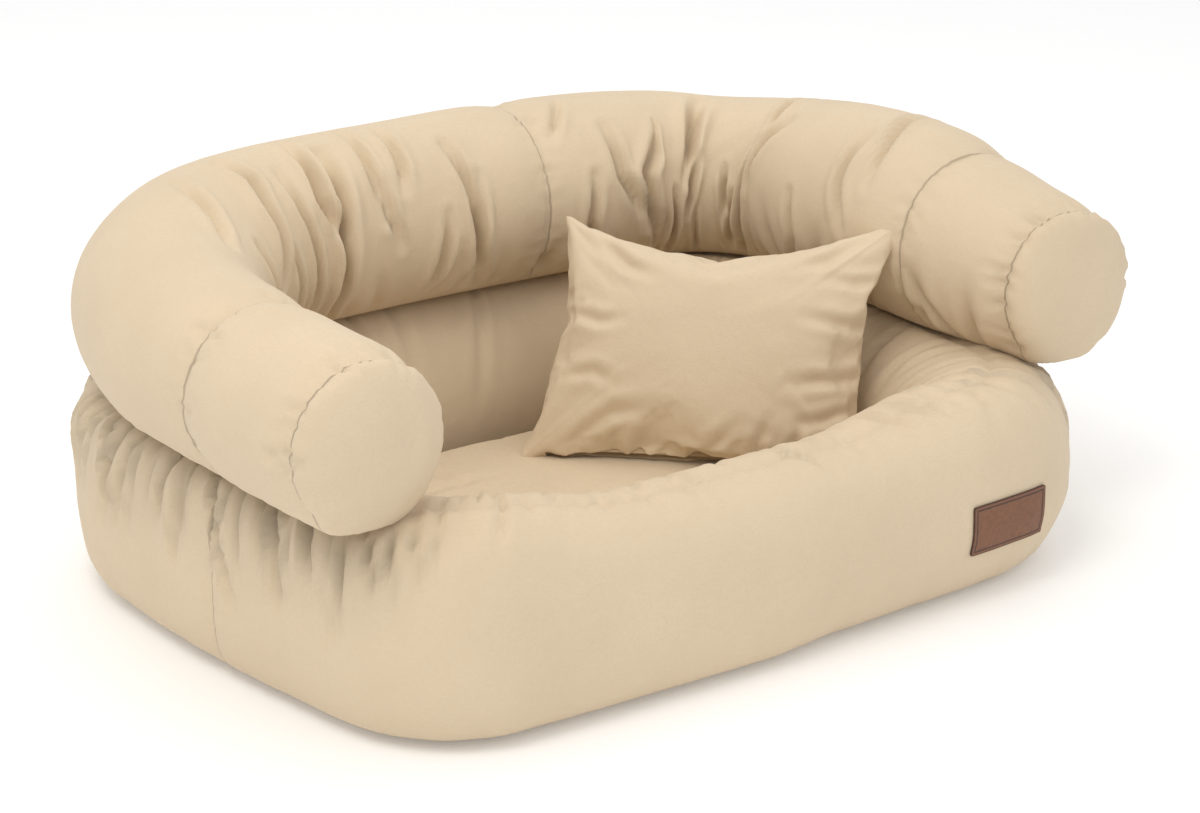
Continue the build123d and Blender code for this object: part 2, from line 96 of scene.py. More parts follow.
def arcEnds(arcs):
    return np.concatenate([[0], np.cumsum([arc[2] * arc[4] for arc in arcs])])


def onPlan(arcs, distance):  # arc number and share of it at each distance
    ends = arcEnds(arcs)
    number = np.clip(np.searchsorted(ends, distance, side="right") - 1, 0, len(arcs) - 1)
    return number, (distance - ends[number]) / (ends[number + 1] - ends[number])


def planPoint(arcs, number, share):  # point and outward heading
    table = np.array(arcs)[number]
    heading = table[:, 3] + table[:, 4] * share
    return table[:, 0] + table[:, 2] * np.cos(heading), table[:, 1] + table[:, 2] * np.sin(heading), heading


def sideDistance(arcs, y):  # distance along the plan to a y on the right side bow
    x, centreY, radius, start, sweep = arcs[2]
    return arcEnds(arcs)[2] + (math.asin((y - centreY) / radius) - start) * radius


# Meshes: points, cloth coordinates and modifiers
def meshObject(name, bm):
    mesh = bpy.data.meshes.new(name)
    bm.to_mesh(mesh)
    bm.free()
    obj = bpy.data.objects.new(name, mesh)
    scene.collection.objects.link(obj)
    return obj


def gridMesh(name, along, around, size=1):
    bm = bmesh.new()
    bmesh.ops.create_grid(bm, x_segments=along, y_segments=around, size=size)
    return meshObject(name, bm)


def readPoints(obj):
    points = np.empty(len(obj.data.vertices) * 3)
    obj.data.vertices.foreach_get("co", points)
    return points.reshape(-1, 3)


def writePoints(obj, points):
    obj.data.vertices.foreach_set("co", np.ascontiguousarray(points, dtype=np.float64).ravel())
    obj.data.update()


def readNormals(obj):
    normals = np.empty(len(obj.data.vertices) * 3)
    obj.data.vertices.foreach_get("normal", normals)
    return normals.reshape(-1, 3)


def cornerVertices(obj):  # vertex number of each face corner
    corner = np.empty(len(obj.data.loops), dtype=np.int64)
    obj.data.loops.foreach_get("vertex_index", corner)
    return corner


def setUv(obj, uv):  # given per vertex, in metres along and around the cloth
    layer = obj.data.uv_layers.new(name="cloth")
    layer.data.foreach_set("uv", uv[cornerVertices(obj)].ravel())


def vertexUv(obj):
    uv = np.empty(len(obj.data.loops) * 2)
    obj.data.uv_layers["cloth"].data.foreach_get("uv", uv)
    found = np.zeros((len(obj.data.vertices), 2))
    found[cornerVertices(obj)] = uv.reshape(-1, 2)
    return found


def setPaintedShade(obj, share):  # how much painted shade the cloth gets in gathers and creases, 0 to 1
    layer = obj.data.attributes.new("paintedShade", "FLOAT", "POINT")
    layer.data.foreach_set("value", np.ascontiguousarray(np.clip(share, 0, 1), dtype=np.float32))


def mergeSeams(obj):
    bm = bmesh.new()
    bm.from_mesh(obj.data)
    bmesh.ops.remove_doubles(bm, verts=bm.verts, dist=0.00002)
    bm.to_mesh(obj.data)
    bm.free()
    obj.data.update()


def smoothShade(obj):
    obj.data.polygons.foreach_set("use_smooth", np.ones(len(obj.data.polygons), dtype=bool))
    obj.data.update()


def applyModifiers(obj):
    graph = bpy.context.evaluated_depsgraph_get()
    fresh = bpy.data.meshes.new_from_object(obj.evaluated_get(graph))
    old = obj.data
    obj.modifiers.clear()
    obj.data = fresh
    bpy.data.meshes.remove(old)
    fresh.name = obj.name


def refine(obj):  # one level of subdivision
    finer = obj.modifiers.new("finer", "SUBSURF")
    finer.levels = finer.render_levels = 1
    applyModifiers(obj)


def inflate(obj, blow):  # cloth under pressure, no point moving further than the cap
    before = readPoints(obj)
    cloth = obj.modifiers.new("inflate", "CLOTH")
    settings = cloth.settings
    settings.quality = 4
    settings.mass = 0.25
    settings.tension_stiffness = blow["tension"]
    settings.compression_stiffness = blow["tension"]
    settings.shear_stiffness = blow["tension"] / 3
    settings.bending_stiffness = blow["bend"]
    settings.use_pressure = True
    settings.uniform_pressure_force = blow["pressure"]
    settings.shrink_min = -blow["growth"]
    settings.effector_weights.gravity = 0
    cloth.collision_settings.use_collision = False
    cloth.point_cache.frame_start = 1
    cloth.point_cache.frame_end = blow["frames"]
    for number in range(1, blow["frames"] + 1):
        scene.frame_set(number)
    graph = bpy.context.evaluated_depsgraph_get()
    result = obj.evaluated_get(graph).to_mesh()
    after = np.empty(len(result.vertices) * 3)
    result.vertices.foreach_get("co", after)
    obj.evaluated_get(graph).to_mesh_clear()
    obj.modifiers.remove(cloth)
    scene.frame_set(1)
    moved = after.reshape(-1, 3) - before
    length = np.linalg.norm(moved, axis=1, keepdims=True)
    writePoints(obj, before + moved * np.minimum(1, blow["cap"] / np.maximum(length, 1e-9)))
    print("inflated", obj.name, "mean move mm", round(float(length.mean()) * 1000, 1))


# Seeded unevenness of the cloth
def ripple(seed, count, low, high):  # sum of waves over a distance, at rates per metre
    rng = np.random.default_rng(seed)
    waves = []
    for _ in range(count):
        waves.append((rng.uniform(low, high), rng.uniform(0, 2 * math.pi), rng.uniform(0.5, 1)))

    def value(distance):
        total = sum(size * np.sin(2 * math.pi * rate * distance + phase) for rate, phase, size in waves)
        return total / count

    return value


def cloudy(seed, count, low, high):  # soft bumps over two distances, at rates per metre
    rng = np.random.default_rng(seed)
    waves = []
    for _ in range(count):
        rate, turn = rng.uniform(low, high), rng.uniform(0, 2 * math.pi)
        phase, size = rng.uniform(0, 2 * math.pi), rng.uniform(0.4, 1)
        waves.append((rate * math.cos(turn), rate * math.sin(turn), phase, size))

    def value(along, around):
        total = 0
        for a, b, phase, size in waves:
            total = total + size * np.sin(2 * math.pi * (a * along + b * around) + phase)
        return total / count

    return value


def onRing(value, along, *rest):  # a wave that joins up after one turn of the wall
    share = between(along, wallLength - 0.3, wallLength)
    return value(along, *rest) * (1 - share) + value(along - wallLength, *rest) * share


# A row of seeded creases that run away from a seam: along is the distance down the seam, away that from it
def pleatRow(row, span, along, away, shift=0):
    rng = np.random.default_rng(row["seed"] + shift)
    step = (span[1] - span[0]) / row["count"]
    total = np.zeros(len(along))
    for number in range(row["count"]):
        place = span[0] + step * (number + rng.uniform(0.1, 0.9))
        slant, strength = rng.uniform(-0.5, 0.5), rng.uniform(0.2, 1.1)
        length = row["length"] * rng.uniform(0.45, 1.35)
        near = np.abs(along - place) < 0.05
        far = away[near] - row["start"]
        gap = along[near] - place - slant * far
        spread = row["width"] * (0.7 + 0.9 * np.clip(far / length, 0, 1.5))
        fade = soft((far + 0.012) / 0.016) * soft((length - far) / (0.75 * length))
        shape = groove(np.abs(gap) - 2.2 * spread, spread, 0.35) - groove(gap, spread, 1)
        total[near] += row["depth"] * strength * fade * shape
    return total


def foldDepth(along, around, path, width, depth, fade=0.35):  # crease down a path, with soft lips beside it
    best = np.full(len(along), 1e9)
    share = np.zeros(len(along))
    path = np.array(path, dtype=float)
    total = np.linalg.norm(np.diff(path, axis=0), axis=1).sum()
    walked = 0.0
    for first, last in zip(path, path[1:]):
        step = last - first
        length = np.linalg.norm(step)
        t = np.clip(((along - first[0]) * step[0] + (around - first[1]) * step[1]) / length**2, 0, 1)
        gap = np.hypot(along - first[0] - t * step[0], around - first[1] - t * step[1])
        nearer = gap < best
        best = np.where(nearer, gap, best)
        share = np.where(nearer, (walked + t * length) / total, share)
        walked += length
    strength = soft(share / fade) * soft((1 - share) / fade) * 0.75 + 0.25
    return depth * strength * (groove(best - 2.1 * width, 1.1 * width, 0.42) - groove(best, width, 1))


# Camera at the photograph's angle
view = {
    "azimuth": -36.9316, "elevation": 19.5029, "roll": 0.391,  # degrees, from the fitted outline
    "distance": 2.546, "target": (-0.0109, -0.0495, 0.1455), "lens": 86.55,
}


def placeCamera():
    az, el, turn = (math.radians(view[key]) for key in ("azimuth", "elevation", "roll"))
    back = Vector((math.sin(az) * math.cos(el), -math.cos(az) * math.cos(el), math.sin(el)))
    right = (-back).cross(Vector((0, 0, 1))).normalized()
    up = right.cross(-back)
    right, up = right * math.cos(turn) + up * math.sin(turn), up * math.cos(turn) - right * math.sin(turn)
    camera = bpy.data.objects.new("camera", bpy.data.cameras.new("camera"))
    scene.collection.objects.link(camera)
    camera.data.lens = view["lens"]
    camera.data.sensor_width = 36
    camera.data.clip_end = 50
    place = Vector(view["target"]) + back * view["distance"]
    camera.matrix_world = Matrix((right, up, back)).transposed().to_4x4()
    camera.location = place
    scene.camera = camera


placeCamera()
print("camera placed")

# Wall: one closed padded ring, its seams pressed in afterwards
wall = {
    "outer": {"halfWidth": 0.413, "widestY": 0.060, "frontY": -0.336, "backY": 0.326, "sideBow": 1.5,
              "frontBow": 4.0, "backBow": 1.36,
              "rightCorners": (0.140, 0.210), "leftCorners": (0.118, 0.210)},  # front, back
    "inner": {"halfWidth": 0.260, "widestY": 0.060, "frontY": -0.176, "backY": 0.162, "sideBow": 1.2,
              "frontBow": 3.8, "backBow": 1.2,
              "rightCorners": (0.050, 0.070), "leftCorners": (0.046, 0.070)},
    "shiftX": -0.012, "height": 0.178, "crestSet": 0.001, "bellyShare": 0.33,
    "reach": 0.083, "crestShift": 0.012, "along": 400, "around": 96, "cloth": 0.56,
    "outerPower": 3.0, "shoulderPower": 4.8, "innerPower": 2.0, "footPower": 3.6, "shoulderY": (-0.25, -0.19),
    "frontRampY": (-0.12, -0.22), "frontRise": 0.005, "frontSag": 0.017,
    "sagMiddle": -0.025, "sagReach": 0.290, "sagRamp": 0.59,
    "droop": 0.010, "droopX": (0.12, 0.37), "droopY": (0.05, -0.20),
    "footHeight": 0.075, "hem": 0.252, "footPull": 0.005,
    "cornerPull": 0.012, "pullX": (-0.03, 0.07), "pullY": (-0.05, -0.20),
    "footRipples": ((0.0035, (9, 12, 3, 9)), (0.0020, (10, 10, 10, 22))),  # size, then seed, count and rates
    "puff": 0.0045, "puffWaves": (11, 14, 3, 8),
    "crumple": 0.0008, "crumpleWaves": (12, 26, 18, 42), "crumpleStretch": 0.45,
    "raisedFrom": (0.004, 0.024), "bareCrestY": (-0.205, -0.235), "gatheredY": (-0.30, -0.25),
    "shadeAbove": (0.115, 0.030), "shadeBelow": (0.015, 0.035), "shadePress": 0.008,
    "sideSeamY": -0.066, "seamDepth": 0.0026, "seamWidth": 0.0022,
    "crestPinch": (0.011, 0.0025), "sidePinch": (0.014, 0.0022), "sideSpan": (0.03, 0.27),
}
wallRows = {  # creases: where they start from the seam, their mean length, width and depth
    "gathers": {"seed": 21, "count": 123, "start": 0.036, "length": 0.085, "width": 0.0044, "depth": 0.0140},
    "crest": {"seed": 22, "count": 107, "start": 0.0, "length": 0.045, "width": 0.0042, "depth": 0.0058},
    "lining": {"seed": 23, "count": 51, "start": 0.012, "length": 0.110, "width": 0.0055, "depth": 0.0045},
    "foot": {"seed": 24, "count": 57, "start": 0.0, "length": 0.055, "width": 0.0050, "depth": 0.0030},
    "sideSeam": {"seed": 25, "count": 9, "start": 0.002, "length": 0.045, "width": 0.0035, "depth": 0.0014},
}
wallOuter = planArcs(wall["outer"])
wallInner = planArcs(wall["inner"])
wallLength = arcEnds(wallOuter)[-1]
sideSeam = sideDistance(wallOuter, wall["sideSeamY"])
sideSeams = (sideSeam, wallLength - sideSeam)


def crestHeight(x, y):  # the front sags between the arms and rises to meet them
    front = between(y, *wall["frontRampY"])
    sag = soft((1 - np.abs(x - wall["sagMiddle"]) / wall["sagReach"]) / wall["sagRamp"])
    drop = (wall["frontSag"] + wall["frontRise"]) * sag
    return wall["height"] - wall["crestSet"] + front * (wall["frontRise"] - drop)


def footPull(along, x, y):  # how far the foot is drawn in, most at the right front corner
    pull = wall["footPull"] + wall["cornerPull"] * between(x, *wall["pullX"]) * between(y, *wall["pullY"])
    for size, waves in wall["footRipples"]:
        pull += size * onRing(ripple(*waves), along)
    return pull


def wallPoints(along, turn):  # distance along the outer plan and angle round the section
    number, share = onPlan(wallOuter, along)
    outerX, outerY, _ = planPoint(wallOuter, number, share)
    innerX, innerY, _ = planPoint(wallInner, number, share)
    outer, inner = np.column_stack([outerX, outerY]), np.column_stack([innerX, innerY])
    half = (outer - inner) / 2
    middle = (outer + inner) / 2 + half * (wall["crestShift"] / wall["reach"])
    c, s = np.cos(turn), np.sin(turn)
    level = wall["height"] * wall["bellyShare"]
    rise = np.where(s > 0, crestHeight(outerX, outerY) - level, level)
    square = between(outerY, *wall["shoulderY"])  # squarer shoulders under the roll
    outerPower = wall["outerPower"] + (wall["shoulderPower"] - wall["outerPower"]) * square
    power = np.where(s > 0, np.where(c > 0, outerPower, wall["innerPower"]), wall["footPower"])
    reach = wall["reach"] - np.sign(c) * wall["crestShift"]
    radius = (np.abs(c / reach) ** power + np.abs(s / rise) ** power) ** (-1 / power)
    low = (c > 0) * (1 - soft((level + radius * s) / wall["footHeight"])) * c
    pull = footPull(along, outerX, outerY) * low
    flat = middle + half * ((radius * c - pull) / wall["reach"])[:, None]
    return np.column_stack([flat[:, 0] + wall["shiftX"], flat[:, 1], level + radius * s])


def settle(points):  # the right front corner stands a little lower
    lower = between(points[:, 0], *wall["droopX"]) * between(points[:, 1], *wall["droopY"])
    points[:, 2] -= wall["droop"] * lower * soft(points[:, 2] / wall["height"])


def dressWall(obj):  # folds, gathers and pressed seams, moved along the surface normals
    points, normals, uv = readPoints(obj), readNormals(obj), vertexUv(obj)
    along = uv[:, 0]
    drop = wall["cloth"] / 2 - uv[:, 1]  # cloth distance from the crest, positive outside
    ring = (0, wallLength)
    raised = between(points[:, 2], *wall["raisedFrom"])
    bare = between(points[:, 1], *wall["bareCrestY"])
    move = wall["puff"] * onRing(cloudy(*wall["puffWaves"]), along, drop) * raised
    fine = onRing(cloudy(*wall["crumpleWaves"]), along, drop * wall["crumpleStretch"])
    move += wall["crumple"] * fine * raised
    gathered = (drop > -0.01) * between(points[:, 1], *wall["gatheredY"])
    pressed = gathered * pleatRow(wallRows["gathers"], ring, along, drop)
    move += pressed
    # painted shade: the gathers just under the roll are darkened, most in the deepest pleats
    nearRoll = gathered * between(drop, *wall["shadeAbove"]) * between(drop, *wall["shadeBelow"])
    setPaintedShade(obj, nearRoll * (0.30 + 0.70 * np.clip(-pressed / wall["shadePress"], 0, 1)))
    move += bare * pleatRow(wallRows["crest"], ring, along, np.abs(drop))
    move += (drop < 0) * pleatRow(wallRows["lining"], ring, along, -drop)
    move += (drop > 0.08) * raised * pleatRow(wallRows["foot"], ring, along, wall["hem"] - drop)
    move -= groove(drop, wall["seamWidth"], wall["seamDepth"]) + bare * groove(drop, *wall["crestPinch"])
    outside = soft(drop / 0.01) * raised
    for place in sideSeams:
        gap = np.abs(along - place)
        pinch = groove(gap, wall["seamWidth"], wall["seamDepth"]) + groove(gap, *wall["sidePinch"])
        move -= outside * pinch
        move += outside * pleatRow(wallRows["sideSeam"], wall["sideSpan"], drop, gap, shift=int(place * 10))
    points += normals * move[:, None]
    points[:, 2] = np.maximum(points[:, 2], 0.0)
    settle(points)
    writePoints(obj, points)


def makeWall():
    obj = gridMesh("wallForm", wall["along"], wall["around"])
    grid = readPoints(obj)
    u, v = (grid[:, 0] + 1) / 2, (grid[:, 1] + 1) / 2
    along = u * wallLength * 0.9999999  # the end stays on the last arc
    turn = -math.pi / 2 + v * 2 * math.pi  # from the foot, out and up over the crest, down inside
    points = wallPoints(along, turn)
    points[:, 2] = np.maximum(points[:, 2], 0.0)
    writePoints(obj, points)
    setUv(obj, np.column_stack([along, v * wall["cloth"]]))
    mergeSeams(obj)
    dressWall(obj)
    return obj


wallForm = makeWall()
print("wall form", len(wallForm.data.vertices))

# Base: a thin dark sheet between the wall's foot and the floor
base = {"inset": 0.058, "thickness": 0.002, "segments": 180}


def makeBase():
    bm = bmesh.new()
    rim = bmesh.ops.create_circle(bm, cap_ends=True, segments=base["segments"], radius=1)["verts"]
    number, share = onPlan(wallOuter, np.linspace(0, wallLength, len(rim), endpoint=False))
    x, y, heading = planPoint(wallOuter, number, share)
    for vertex, px, py, turn in zip(rim, x, y, heading):
        inX, inY = base["inset"] * math.cos(turn), base["inset"] * math.sin(turn)
        vertex.co = (px + wall["shiftX"] - inX, py - inY, 0)
    raised = bmesh.ops.extrude_face_region(bm, geom=bm.faces[:])["geom"]
    top = [part for part in raised if isinstance(part, bmesh.types.BMVert)]
    bmesh.ops.translate(bm, vec=(0, 0, base["thickness"]), verts=top)
    bmesh.ops.recalc_face_normals(bm, faces=bm.faces)
    return meshObject("baseSheet", bm)


baseSheet = makeBase()
print("base sheet", len(baseSheet.data.vertices))

# Roll: a tube along three sides, its ends closed by domes
roll = {
    "outer": {"halfWidth": 0.450, "widestY": 0.0, "frontY": -0.339, "backY": 0.339, "sideBow": 5.0,
              "frontBow": 4.0, "backBow": 2.6,
              "rightCorners": (0.040, 0.232), "leftCorners": (0.040, 0.325)},  # front, back
    "armEndY": -0.237, "armRadii": (0.0755, 0.0730), "backRadius": 0.0870, "taperLengths": (0.160, 0.600),
    "swells": ((0.20, 0.12, 0.0050), (0.50, 0.15, -0.0080)), "swellStart": 0.12,  # place, reach, height
    "sink": 0.008, "along": 460, "around": 104, "inner": (75, 120),
    "capCloth": 0.078, "bulge": 0.027, "bulgePower": 0.9, "rimPower": 0.80, "capPuff": 0.0030,
    "capWaves": (71, 12, 8, 20), "rimPinches": ((0.017, 0.0075), (0.0018, 0.0022)),  # width, depth
    "seams": (0.115, 0.816, 1.650), "seamPinches": ((0.020, 0.0045), (0.0020, 0.0026)), "seamWander": 0.004,
    "seamSpan": (0.0, 0.54), "seamShift": 0.14, "rimSpan": (0.0, 0.46), "rimShift": 0.115, "rimReach": 0.05,
    "puff": 0.0035, "puffWaves": (31, 14, 3, 8),
    "ripple": 0.0020, "rippleWaves": (32, 30, 14, 34), "rippleStretch": 0.30,
    "foldGain": 2.0, "foldWidth": 0.9, "foldShift": 0.016, "foldReach": 0.16,
    "freeAbove": (0.001, 0.017), "shade": 0.75, "shadeDepth": 0.020,
}
rollRows = {  # creases: where they start from the seam, their mean length, width and depth
    "outer": {"seed": 41, "count": 44, "start": 0.030, "length": 0.055, "width": 0.0050, "depth": 0.0042},
    "inner": {"seed": 42, "count": 46, "start": 0.035, "length": 0.095, "width": 0.0060, "depth": 0.0085},
    "seam": {"seed": 50, "count": 26, "start": 0.001, "length": 0.026, "width": 0.0030, "depth": 0.0022},
    "rim": {"seed": 61, "count": 26, "start": 0.0, "length": 0.034, "width": 0.0034, "depth": 0.0034},
}
rollFolds = (  # path as distance along the outer line and degrees round the roll, then width and depth
    (((1.182, 92), (1.194, 118), (1.229, 139), (1.240, 155), (1.262, 182)), 0.0060, 0.0085),
    (((0.202, 72), (0.192, 94), (0.174, 124), (0.168, 150)), 0.0045, 0.0050),
    (((1.277, 88), (1.339, 112), (1.384, 122), (1.440, 128)), 0.0060, 0.0050),
    (((1.065, 96), (1.080, 127), (1.092, 146), (1.072, 164), (1.060, 180)), 0.0055, 0.0065),
    (((1.038, 112), (1.050, 150), (1.053, 162), (1.056, 187), (1.064, 226)), 0.0065, 0.0110),
    (((0.958, 100), (0.963, 132), (0.970, 150)), 0.0050, 0.0055),
    (((0.993, 144), (0.993, 163), (0.984, 184)), 0.0045, 0.0055),
    (((0.993, 92), (1.000, 140), (1.001, 166)), 0.0050, 0.0055),
    (((0.903, 122), (0.897, 150), (0.893, 181), (0.876, 230)), 0.0055, 0.0085),
    (((0.883, 148), (0.889, 181), (0.890, 226)), 0.0045, 0.0060),
    (((0.742, 96), (0.781, 132)), 0.0045, 0.0035),
    (((0.716, 128), (0.714, 163), (0.680, 200)), 0.0055, 0.0065),
    (((0.646, 132), (0.684, 165), (0.677, 187), (0.655, 222)), 0.0055, 0.0080),
    (((0.529, 100), (0.557, 150), (0.574, 170)), 0.0060, 0.0075),
    (((0.530, 152), (0.552, 172), (0.575, 196)), 0.0045, 0.0060),
    (((0.458, 160), (0.452, 178), (0.446, 200)), 0.0045, 0.0050),
    (((0.420, 178), (0.436, 205), (0.452, 228)), 0.0045, 0.0055),
    (((0.360, 140), (0.376, 174), (0.410, 222)), 0.0055, 0.0070),
    (((0.372, 84), (0.353, 130)), 0.0050, 0.0050),
    (((0.318, 122), (0.335, 145), (0.350, 172)), 0.0050, 0.0055),
    (((0.208, 118), (0.205, 153), (0.188, 180)), 0.0050, 0.0055),
    (((1.130, 120), (1.142, 150), (1.128, 190), (1.120, 224)), 0.0050, 0.0060),
    (((1.205, 168), (1.190, 196), (1.186, 226)), 0.0050, 0.0060),
    (((0.745, 160), (0.752, 190), (0.738, 226)), 0.0048, 0.0055),
    (((0.615, 178), (0.606, 200), (0.612, 228)), 0.0048, 0.0055),
    (((0.925, 168), (0.932, 200), (0.940, 228)), 0.0048, 0.0050),
    (((1.420, 176), (1.404, 205), (1.410, 232)), 0.0055, 0.0060),
    (((1.330, 150), (1.322, 186), (1.340, 226)), 0.0055, 0.0060),
    (((0.270, 168), (0.262, 196), (0.276, 228)), 0.0050, 0.0050),
)
rollPlan = planArcs(roll["outer"])
rollStart = sideDistance(rollPlan, roll["armEndY"])
rollLength = arcEnds(rollPlan)[-1] - 2 * rollStart


def rollRadius(along):
    full = roll["backRadius"]
    radius = full
    for gap, endRadius, length in zip((along, rollLength - along), roll["armRadii"], roll["taperLengths"]):
        radius = radius - (full - endRadius) * (1 - soft(gap / length))
    swelling = sum(groove(along - place, reach, height) for place, reach, height in roll["swells"])
    return radius + swelling * soft(along / roll["swellStart"])


def rollFrame(along):  # centre of the section, outward heading and radius
    number, share = onPlan(rollPlan, np.clip(along, 0, rollLength) + rollStart)
    x, y, heading = planPoint(rollPlan, number, share)
    outward = np.column_stack([np.cos(heading), np.sin(heading), 0 * x])
    radius = rollRadius(np.clip(along, 0, rollLength))
    centre = np.column_stack([x, y, wall["height"] + radius - roll["sink"]]) - outward * radius[:, None]
    return centre, outward, radius


def rollPoints(along, turn):  # beyond each end of the outer line the tube closes in a dome
    centre, outward, radius = rollFrame(along)
    over = np.maximum(-along, along - rollLength)
    bend = np.clip(over / roll["capCloth"], 0, 1) * math.pi / 2
    ahead = np.column_stack([outward[:, 1], -outward[:, 0], 0 * along]) * np.where(along < 0, 1, -1)[:, None]
    ring = radius * np.maximum(np.cos(bend), 0) ** roll["rimPower"]
    bulge = roll["bulge"] * np.sin(bend) ** roll["bulgePower"]
    points = centre + outward * (ring * np.cos(turn))[:, None] + ahead * bulge[:, None]
    points[:, 2] += ring * np.sin(turn)
    points[:, 2] = np.maximum(points[:, 2], wall["height"])
    return points


def clothScale(along, turn):  # true cloth length for each metre of the outer line, shorter inside a bend
    number, _ = onPlan(rollPlan, np.clip(along, 0, rollLength) + rollStart)
    radius = rollRadius(along)
    return 1 - radius * (1 - np.cos(turn)) / np.array(rollPlan)[number][:, 2]


def creaseRoll(move, along, turn, radius, scale, inside):  # the main creases of the photograph
    for path, width, depth in rollFolds:
        middle = np.mean([place for place, _ in path])
        shifted = middle + roll["foldShift"] * between(middle, 0.2, 0.5)
        near = np.abs(along - shifted) < roll["foldReach"]
        r = radius[near].mean()
        shrink = float(np.median(scale[near][inside[near] > 0.5]))
        bent = [((place - middle) * shrink, math.radians(angle) * r) for place, angle in path]
        down, across = (along[near] - shifted) * shrink, turn[near] * r
        move[near] += foldDepth(down, across, bent, width * roll["foldWidth"], depth * roll["foldGain"])


def seamRoll(move, along, turn, around, scale):  # cross seams with puckers beside them
    for place in roll["seams"]:
        line = place + roll["seamWander"] * np.sin(turn * 2 + place)
        gap = (along - line) * np.clip(scale, 0.4, 1)
        move -= sum(groove(gap, width, depth) for width, depth in roll["seamPinches"])
        move += pleatRow(rollRows["seam"], roll["seamSpan"], around + roll["seamShift"], np.abs(gap),
                         shift=int(place * 10))


def closeRoll(move, along, turn, around, radius, fromEnd, tube):  # uneven caps and gathered rims
    over = np.maximum(-fromEnd, 0)
    ring = radius * np.cos(np.clip(over / roll["capCloth"], 0, 1) * math.pi / 2)
    uneven = cloudy(*roll["capWaves"])(ring * np.cos(turn) + along, ring * np.sin(turn))
    move += (1 - tube) * roll["capPuff"] * uneven
    move -= sum(groove(fromEnd, width, depth) for width, depth in roll["rimPinches"])
    gathers = pleatRow(rollRows["rim"], roll["rimSpan"], around + roll["rimShift"], np.abs(fromEnd))
    move += (over < roll["rimReach"]) * gathers


def dressRoll(obj):
    points, normals, uv = readPoints(obj), readNormals(obj), vertexUv(obj)
    along, turn = uv[:, 0], uv[:, 1]
    _, _, radius = rollFrame(along)
    scale = clothScale(along, turn)
    degree = np.degrees(turn)
    around = turn * radius
    free = between(points[:, 2] - wall["height"], *roll["freeAbove"])
    fromEnd = np.minimum(along, rollLength - along)
    tube = between(fromEnd, -0.01, 0.01)
    inside = between(degree, *roll["inner"])
    span = (0.02, rollLength - 0.02)
    move = tube * roll["puff"] * cloudy(*roll["puffWaves"])(along, around)
    fine = cloudy(*roll["rippleWaves"])(along * scale, around * roll["rippleStretch"])
    move += tube * roll["ripple"] * (0.25 + 0.75 * inside) * fine
    creaseRoll(move, along, turn, radius, scale, inside)
    fromFoot, fromWell = around + math.pi / 2 * radius, (1.5 * math.pi - turn) * radius
    move += tube * (degree < 60) * pleatRow(rollRows["outer"], span, along, fromFoot)
    move += tube * (degree > 120) * pleatRow(rollRows["inner"], span, along, fromWell)
    seamRoll(move, along, turn, around, scale)
    closeRoll(move, along, turn, around, radius, fromEnd, tube)
    points += normals * (move * free)[:, None]
    # painted shade: the deep creases on the roll's inner side are darkened
    setPaintedShade(obj, roll["shade"] * np.clip(-move / roll["shadeDepth"] - 0.25, 0, 1) * inside * tube)
    points[:, 2] = np.maximum(points[:, 2], wall["height"])
    settle(points)
    writePoints(obj, points)


def makeRoll():
    obj = gridMesh("rollForm", roll["along"], roll["around"])
    grid = readPoints(obj)
    u, v = (grid[:, 0] + 1) / 2, (grid[:, 1] + 1) / 2
    along = u * (rollLength + 2 * roll["capCloth"]) - roll["capCloth"]
    turn = -math.pi / 2 + v * 2 * math.pi
    writePoints(obj, rollPoints(along, turn))
    setUv(obj, np.column_stack([along, turn]))
    mergeSeams(obj)
    dressRoll(obj)
    return obj


rollForm = makeRoll()
print("roll form", len(rollForm.data.vertices), "lengths", round(rollLength, 4), round(wallLength, 4))

# Seat cushion: a bevelled slab that is remeshed and blown up
seat = {
    "size": (0.488, 0.304, 0.044), "middle": (0.0, -0.012, 0.031), "corner": 0.070, "cornerSteps": 10,
    "edge": 0.014, "edgeSteps": 4, "voxel": 0.0055, "smoothings": 3, "bottom": 0.0023,
    "blow": {"pressure": 3.2, "cap": 0.016, "frames": 18, "growth": 0.015, "bend": 0.5, "tension": 15},
    "seamLevel": 0.0283, "seamPinches": ((0.008, 0.0035), (0.0018, 0.0022)),  # width, depth
    "seamRow": {"seed": 91, "count": 60, "start": 0.0, "length": 0.030, "width": 0.0035, "depth": 0.0022},
    "seamRound": 0.24, "seamOval": 0.62, "puff": 0.0022, "puffWaves": (92, 16, 4, 10),
}
seatFolds = (  # path on the seat's top, then width and depth
    (((-0.215, 0.02), (-0.13, 0.035), (-0.06, 0.03)), 0.007, 0.0028),
    (((-0.20, -0.09), (-0.12, -0.06), (-0.02, -0.07), (0.05, -0.05)), 0.007, 0.0030),
    (((-0.15, 0.13), (-0.11, 0.07), (-0.10, 0.01)), 0.006, 0.0024),
    (((-0.02, -0.16), (0.0, -0.11), (0.05, -0.09)), 0.006, 0.0026),
)


def isUpright(edge, length):
    return abs(edge.verts[0].co.z - edge.verts[1].co.z) > length


def isRim(edge):  # level edge between a flat face and a side
    level = abs(edge.verts[0].co.z - edge.verts[1].co.z) < 1e-6
    return level and abs(edge.link_faces[0].normal.z - edge.link_faces[1].normal.z) > 0.5


